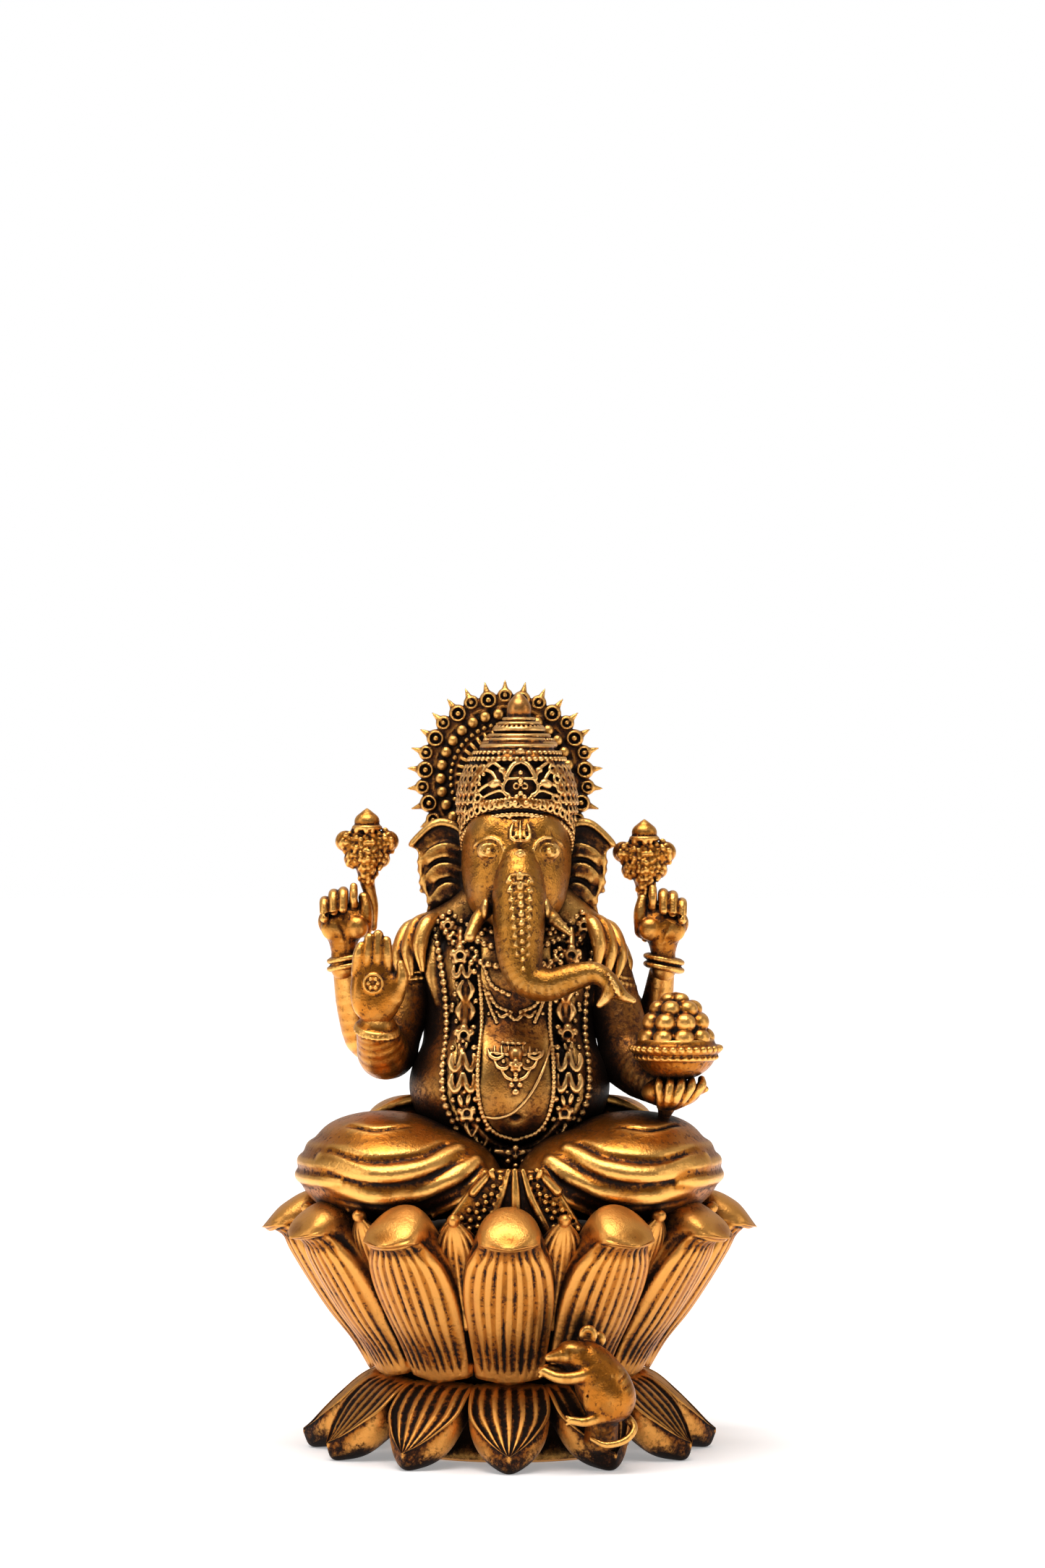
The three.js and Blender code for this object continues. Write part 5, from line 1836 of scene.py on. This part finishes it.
def bud(node, stalk):
    """A lotus bud on a stalk, held upright: an onion cap over lobes covered in scales."""
    low, high = cad(node)
    clay = Clay(low - vec(1.0, 1.4, 0.8), high + vec(1.0, 1.2, 1.2), 0.155)
    c = p((low[0] + high[0]) / 2, (low[1] + high[1]) / 2, high[2] - 4.1)
    clay.ball(c + p(0, 0, -0.6), (2.7, 1.4, 2.8))
    for s in (-1, 1):
        clay.ball(c + p(s * 2.75, 0, 0.3), (1.3, 1.1, 1.35), k=0.5, turn=(0, s * -25, 0))
        clay.ball(c + p(s * 1.8, 0, -2.0), (1.15, 1.05, 1.1), k=0.35)
    clay.limb(
        [c + p(0, 0, -2.0), c + p(0, 0, -4.6), c + p(stalk * 0.4, 0, -6.2)], [1.6, 1.0, 0.75], k=0.5,
    )
    clay.limb(
        [c + p(stalk * 0.4, 0, -6.0), c + p(stalk, 0, -8.0), p(c[0] + stalk, c[1], low[2] + 0.6)],
        [0.75, 0.65, 0.5],
        k=0.2,
    )
    clay.ball(c + p(0, 0, 2.75), (1.62, 1.4, 1.3), k=0.1)
    clay.limb([c + p(0, 0, 3.5), c + p(0, 0, 4.2)], [0.8, 0.3], k=0.4)
    clay.ring(c + p(0, 0, 2.0), (0, 0, 1), 1.6, 0.34, k=0.06)
    for row in range(13):
        z = 1.6 - 0.54 * row
        reach = np.interp(-z, [-1.7, -0.4, 0.8, 1.5, 2.6, 3.6, 5.2], [2.5, 3.6, 3.6, 2.8, 2.5, 1.4, 0.8])
        for i in range(-7, 8):
            stray = 0.12 * math.sin(7.7 * i + 3.3 * row)
            x = 0.6 * (i + 0.5 * (row % 2)) + stray
            if abs(x) < reach:
                size = 0.37 + 0.08 * math.sin(5.3 * i + 2.9 * row)
                spot = clay.front(c[0] + x, c[2] + z + 0.12 * math.sin(3.1 * i + row), -0.12)
                clay.ball(spot, (size, 0.34, 1.2 * size), k=0.1, turn=(35, 0, 40 * stray))
    publish(node, clay.skin(), ANTIQUE)


def open_palm():
    """The blessing hand: an upright open palm with a small rosette in it."""
    low, high = cad("right_front_hand")
    clay = Clay(low - vec(1.2, 1.6, 1.4), high + vec(1.8, 1.2, 1.0), 0.16)
    clay.ball(p(-16.9, -11.4, 59.2), (2.9, 1.5, 4.6))
    clay.ball(p(-16.5, -11.4, 56.6), (2.5, 1.6, 2.3), k=0.8)
    clay.ball(p(-14.7, -11.9, 58.2), (1.5, 1.3, 2.6), k=0.6, turn=(0, 12, 0))
    clay.ball(p(-18.7, -11.9, 58.2), (1.1, 1.0, 2.6), k=0.5)
    fingers = (
        (-19.05, -18.5, 64.9, 0.72), (-17.85, -17.5, 66.0, 0.78), (-16.55, -16.4, 66.4, 0.8),
        (-15.25, -15.4, 65.6, 0.76),
    )
    for base, tip, top, r in fingers:
        clay.limb(
            [p(base, -11.6, 60.8), p(0.6 * base + 0.4 * tip, -12.0, 63.2), p(tip, -11.8, top - r)],
            [r * 1.04, r, r * 0.84],
            k=0.1,
        )
        clay.limb([p(base - 0.5, -12.9, 62.7), p(base + 0.5, -13.0, 62.7)], 0.13, k=0.15, cut=True)
    clay.limb(
        [p(-14.3, -12.0, 57.8), p(-13.4, -12.4, 60.2), p(-13.6, -12.2, 62.0)], [1.1, 0.85, 0.5], k=0.35,
    )
    clay.limb(
        [p(-14.6, -13.4, 61.0), p(-15.6, -13.5, 58.6), p(-15.6, -13.4, 56.4)],
        [0.2, 0.22, 0.1],
        k=0.3,
        cut=True,
    )
    mark = clay.front(-17.0, 59.6, 0.02)
    clay.ring(mark, (0, 1, 0), 1.15, 0.17, k=0.08)
    for i in range(6):
        a = math.radians(60 * i)
        clay.ball(mark + 0.6 * p(math.cos(a), 0, math.sin(a)), (0.28, 0.3, 0.28), k=0.05)
    publish("right_front_hand", clay.skin(), ANTIQUE)


def bowl_hand():
    """The cupped hand under the bowl, on a short post that stands on the knee."""
    low, high = cad("left_front_hand")
    clay = Clay(low - vec(1.2, 1.8, 0.8), high + vec(1.6, 1.2, 1.4), 0.17)
    clay.ball(p(20.2, -11.8, 45.9), (3.7, 3.0, 1.9))
    clay.limb([p(18.4, -9.0, 46.4), p(19.6, -11.0, 46.0)], [2.2, 1.7], k=0.6)
    for i in range(5):
        x = 18.7 + 1.3 * i
        front = -15.2 + 0.28 * (i - 1.5) ** 2
        finger = [
            p(18.9 + 0.42 * i, -13.4, 44.3), p(18.9 + 0.85 * i, front + 0.2, 45.2),
            p(x, front + 0.1, 46.8), p(x + 0.1, front + 1.0, 47.6),
        ]
        clay.limb(finger, [0.55, 0.64, 0.62, 0.48], k=0.1)
    clay.limb([p(23.2, -12.6, 46.2), p(24.5, -12.8, 46.4)], [0.8, 0.4], k=0.3)
    clay.limb(
        [p(19.2, -10.6, low[2] + 0.4), p(19.4, -10.8, 43.0), p(19.8, -11.2, 44.6)],
        [1.0, 0.75, 1.3],
        k=0.4,
    )
    publish("left_front_hand", clay.skin(), ANTIQUE)


# ------------------------------------------------------------------ bowl of sweets


def sweet_bowl():
    """The round bowl: a ribbed wall with a scalloped, beaded rim."""
    low, high = cad("sweet_bowl")
    clay = Clay(low - 0.8, high + 0.9, 0.165)
    c = p((low[0] + high[0]) / 2, (low[1] + high[1]) / 2, 0)
    clay.ball(c + p(0, 0, 51.2), (5.1, 5.1, 3.8))
    clay.ball(c + p(0, 0, 54.8), (6.4, 6.4, 3.0), k=0.1, cut=True)
    clay.ring(c + p(0, 0, 51.3), (0, 0, 1), 5.1, 0.55, k=0.3)
    clay.ring(c + p(0, 0, 50.3), (0, 0, 1), 4.95, 0.3, k=0.2)
    for i in range(34):
        a = 2 * math.pi * i / 34
        clay.ball(c + p(5.5 * math.cos(a), 5.5 * math.sin(a), 51.5), (0.45, 0.45, 0.42), k=0.12)
        clay.bead(c + p(5.1 * math.cos(a + 0.1), 5.1 * math.sin(a + 0.1), 50.4), 0.3, 0.08)
    for i in range(36):
        a = 2 * math.pi * i / 36
        flute = ((4.7, 49.6), (3.9, 48.3), (2.4, 47.6))
        points = [c + p(r * math.cos(a), r * math.sin(a), z) for r, z in flute]
        clay.limb(points, [0.1, 0.16, 0.1], k=0.15, cut=True)
    publish("sweet_bowl", clay.skin(), ANTIQUE)


def sweet_heap():
    """Round sweets piled in four tiers."""
    low, high = cad("sweet_heap")
    clay = Clay(low - 0.8, high + 0.6, 0.18)
    c = p((low[0] + high[0]) / 2, (low[1] + high[1]) / 2, 0)
    clay.ball(c + p(0, 0, 52.4), (3.7, 3.7, 5.0))
    clay.bead(c + p(0, 0, 57.7), 0.8, 0.1)
    for z, reach, r, count, turn in (
        (52.8, 3.5, 1.4, 9, 0.1), (54.7, 3.0, 1.42, 8, 0.45), (56.3, 2.1, 1.3, 6, 0.2),
        (57.4, 0.9, 1.1, 3, 0.6),
    ):
        for i in range(count):
            a = 2 * math.pi * (i + turn) / count
            clay.ball(c + p(reach * math.cos(a), reach * math.sin(a), z), (r, r, r * 0.92), k=0.1)
    publish("sweet_heap", clay.skin(), ANTIQUE)


front_arms()
rear_arm(
    "right_rear_arm",
    [
        ((-10.2, 2.6, 61.6), 2.5), ((-14.6, 4.2, 55.6), 2.7), ((-18.0, 3.6, 51.8), 2.8),
        ((-19.9, 2.4, 55.8), 2.2), ((-20.9, 1.2, 60.6), 1.65),
    ],
)
rear_arm(
    "left_rear_arm",
    [
        ((10.2, 2.6, 61.6), 2.5), ((14.6, 4.2, 55.6), 2.7), ((17.4, 3.6, 51.8), 2.7),
        ((18.7, 2.4, 55.8), 2.1), ((19.4, 1.2, 60.2), 1.65),
    ],
)
for word, side in (("right", RIGHT), ("left", LEFT)):
    stole(word + "_stole", side)
    bangle(word + "_rear_bangle", side)
    fist(word + "_rear_hand", side)
bud("right_bud_emblem", 0.8)
bud("left_bud_emblem", 0.1)
open_palm()
bowl_hand()
sweet_bowl()
sweet_heap()
# ------------------------------------------------------------------ floor, lights and camera

HEIGHT = CAD_BOX[1][2]  # of the figure, in metres
EYE = Vector((0.0168 * HEIGHT, -6.327 * HEIGHT, 0.862 * HEIGHT))


def floor():
    size = 30 * HEIGHT
    mesh = bpy.data.meshes.new("floor")
    mesh.from_pydata(
        [(-size, -size, 0), (size, -size, 0), (size, size, 0), (-size, size, 0)], [], [(0, 1, 2, 3)],
    )
    material = bpy.data.materials.new("pale_floor")
    material.use_nodes = True
    n = Nodes(material)
    away = n.new("VectorMath", operation="LENGTH")
    n.feed(away.inputs[0], n.new("TexCoord").outputs["Object"])
    shader = n.new("BsdfPrincipled")
    shader.inputs["Base Color"].default_value = (0.97, 0.95, 0.95, 1)
    shader.inputs["Roughness"].default_value = 0.7
    # The floor glows, faintly near the figure and more away from it, so it shows white; this glow is painted
    # light and also lights the figure from below.
    shader.inputs["Emission Color"].default_value = (1, 1, 1, 1)
    n.feed(
        shader.inputs["Emission Strength"],
        n.span(away.outputs["Value"], 0.25 * HEIGHT, 1.0 * HEIGHT, 0.3, 0.8),
    )
    n.feed(n.new("OutputMaterial").inputs[0], shader.outputs[0])
    mesh.materials.append(material)
    obj = bpy.data.objects.new("floor", mesh)
    bpy.context.scene.collection.objects.link(obj)


def softbox(name, place, size, power, colour=(1, 1, 1)):
    """A soft square light that faces the middle of the figure. Places are in figure heights."""
    light = bpy.data.lights.new(name, "AREA")
    light.shape = "RECTANGLE"
    light.size, light.size_y = size[0] * HEIGHT, size[1] * HEIGHT
    light.energy = power
    light.color = colour
    obj = bpy.data.objects.new(name, light)
    obj.location = Vector(place) * HEIGHT
    aim = Vector((0, 0, 0.45 * HEIGHT)) - obj.location
    obj.rotation_euler = aim.to_track_quat("-Z", "Y").to_euler()
    bpy.context.scene.collection.objects.link(obj)


def surroundings():
    """White to the eye, and a pale room that is darker in front to what the gold reflects."""
    world = bpy.data.worlds.new("studio")
    bpy.context.scene.world = world
    world.use_nodes = True
    n = Nodes(world)
    direction = n.new("SeparateXYZ")
    n.feed(direction.inputs[0], n.new("TexCoord").outputs["Generated"])
    x, y, z = direction.outputs
    behind = n.span(y, -0.3, 0.9, 0.05, 0.5)
    above = n.span(z, 0.0, 0.9, 0.0, 0.22)
    strength = n.math("ADD", behind, above)
    room = n.new("Background")
    room.inputs[0].default_value = (1.0, 0.97, 0.93, 1)
    n.feed(room.inputs[1], strength)
    white = n.new("Background")
    white.inputs[1].default_value = 1.0
    white.inputs[0].default_value = (1, 1, 1, 1)
    pick = n.new("MixShader")
    n.feed(pick.inputs[0], n.new("LightPath").outputs["Is Camera Ray"])
    n.feed(pick.inputs[1], room.outputs[0])
    n.feed(pick.inputs[2], white.outputs[0])
    n.feed(n.new("OutputWorld").inputs[0], pick.outputs[0])


def camera():
    lens = bpy.data.cameras.new("camera")
    lens.sensor_fit = "VERTICAL"
    lens.sensor_height = 36
    lens.sensor_width = 24
    lens.lens = 111.7
    lens.clip_start = 0.01
    obj = bpy.data.objects.new("camera", lens)
    obj.location = EYE
    obj.rotation_euler = (math.pi / 2, 0, 0)
    bpy.context.scene.collection.objects.link(obj)
    bpy.context.scene.camera = obj


floor()
surroundings()
softbox("top_light", (-0.4, -1.2, 4.2), (3.2, 2.4), 1.5)
softbox("left_light", (-3.6, -1.8, 1.8), (1.6, 2.8), 0.3)
softbox("right_light", (3.8, -1.4, 1.6), (1.4, 2.6), 0.22)
camera()
bpy.context.scene.view_settings.view_transform = "Standard"
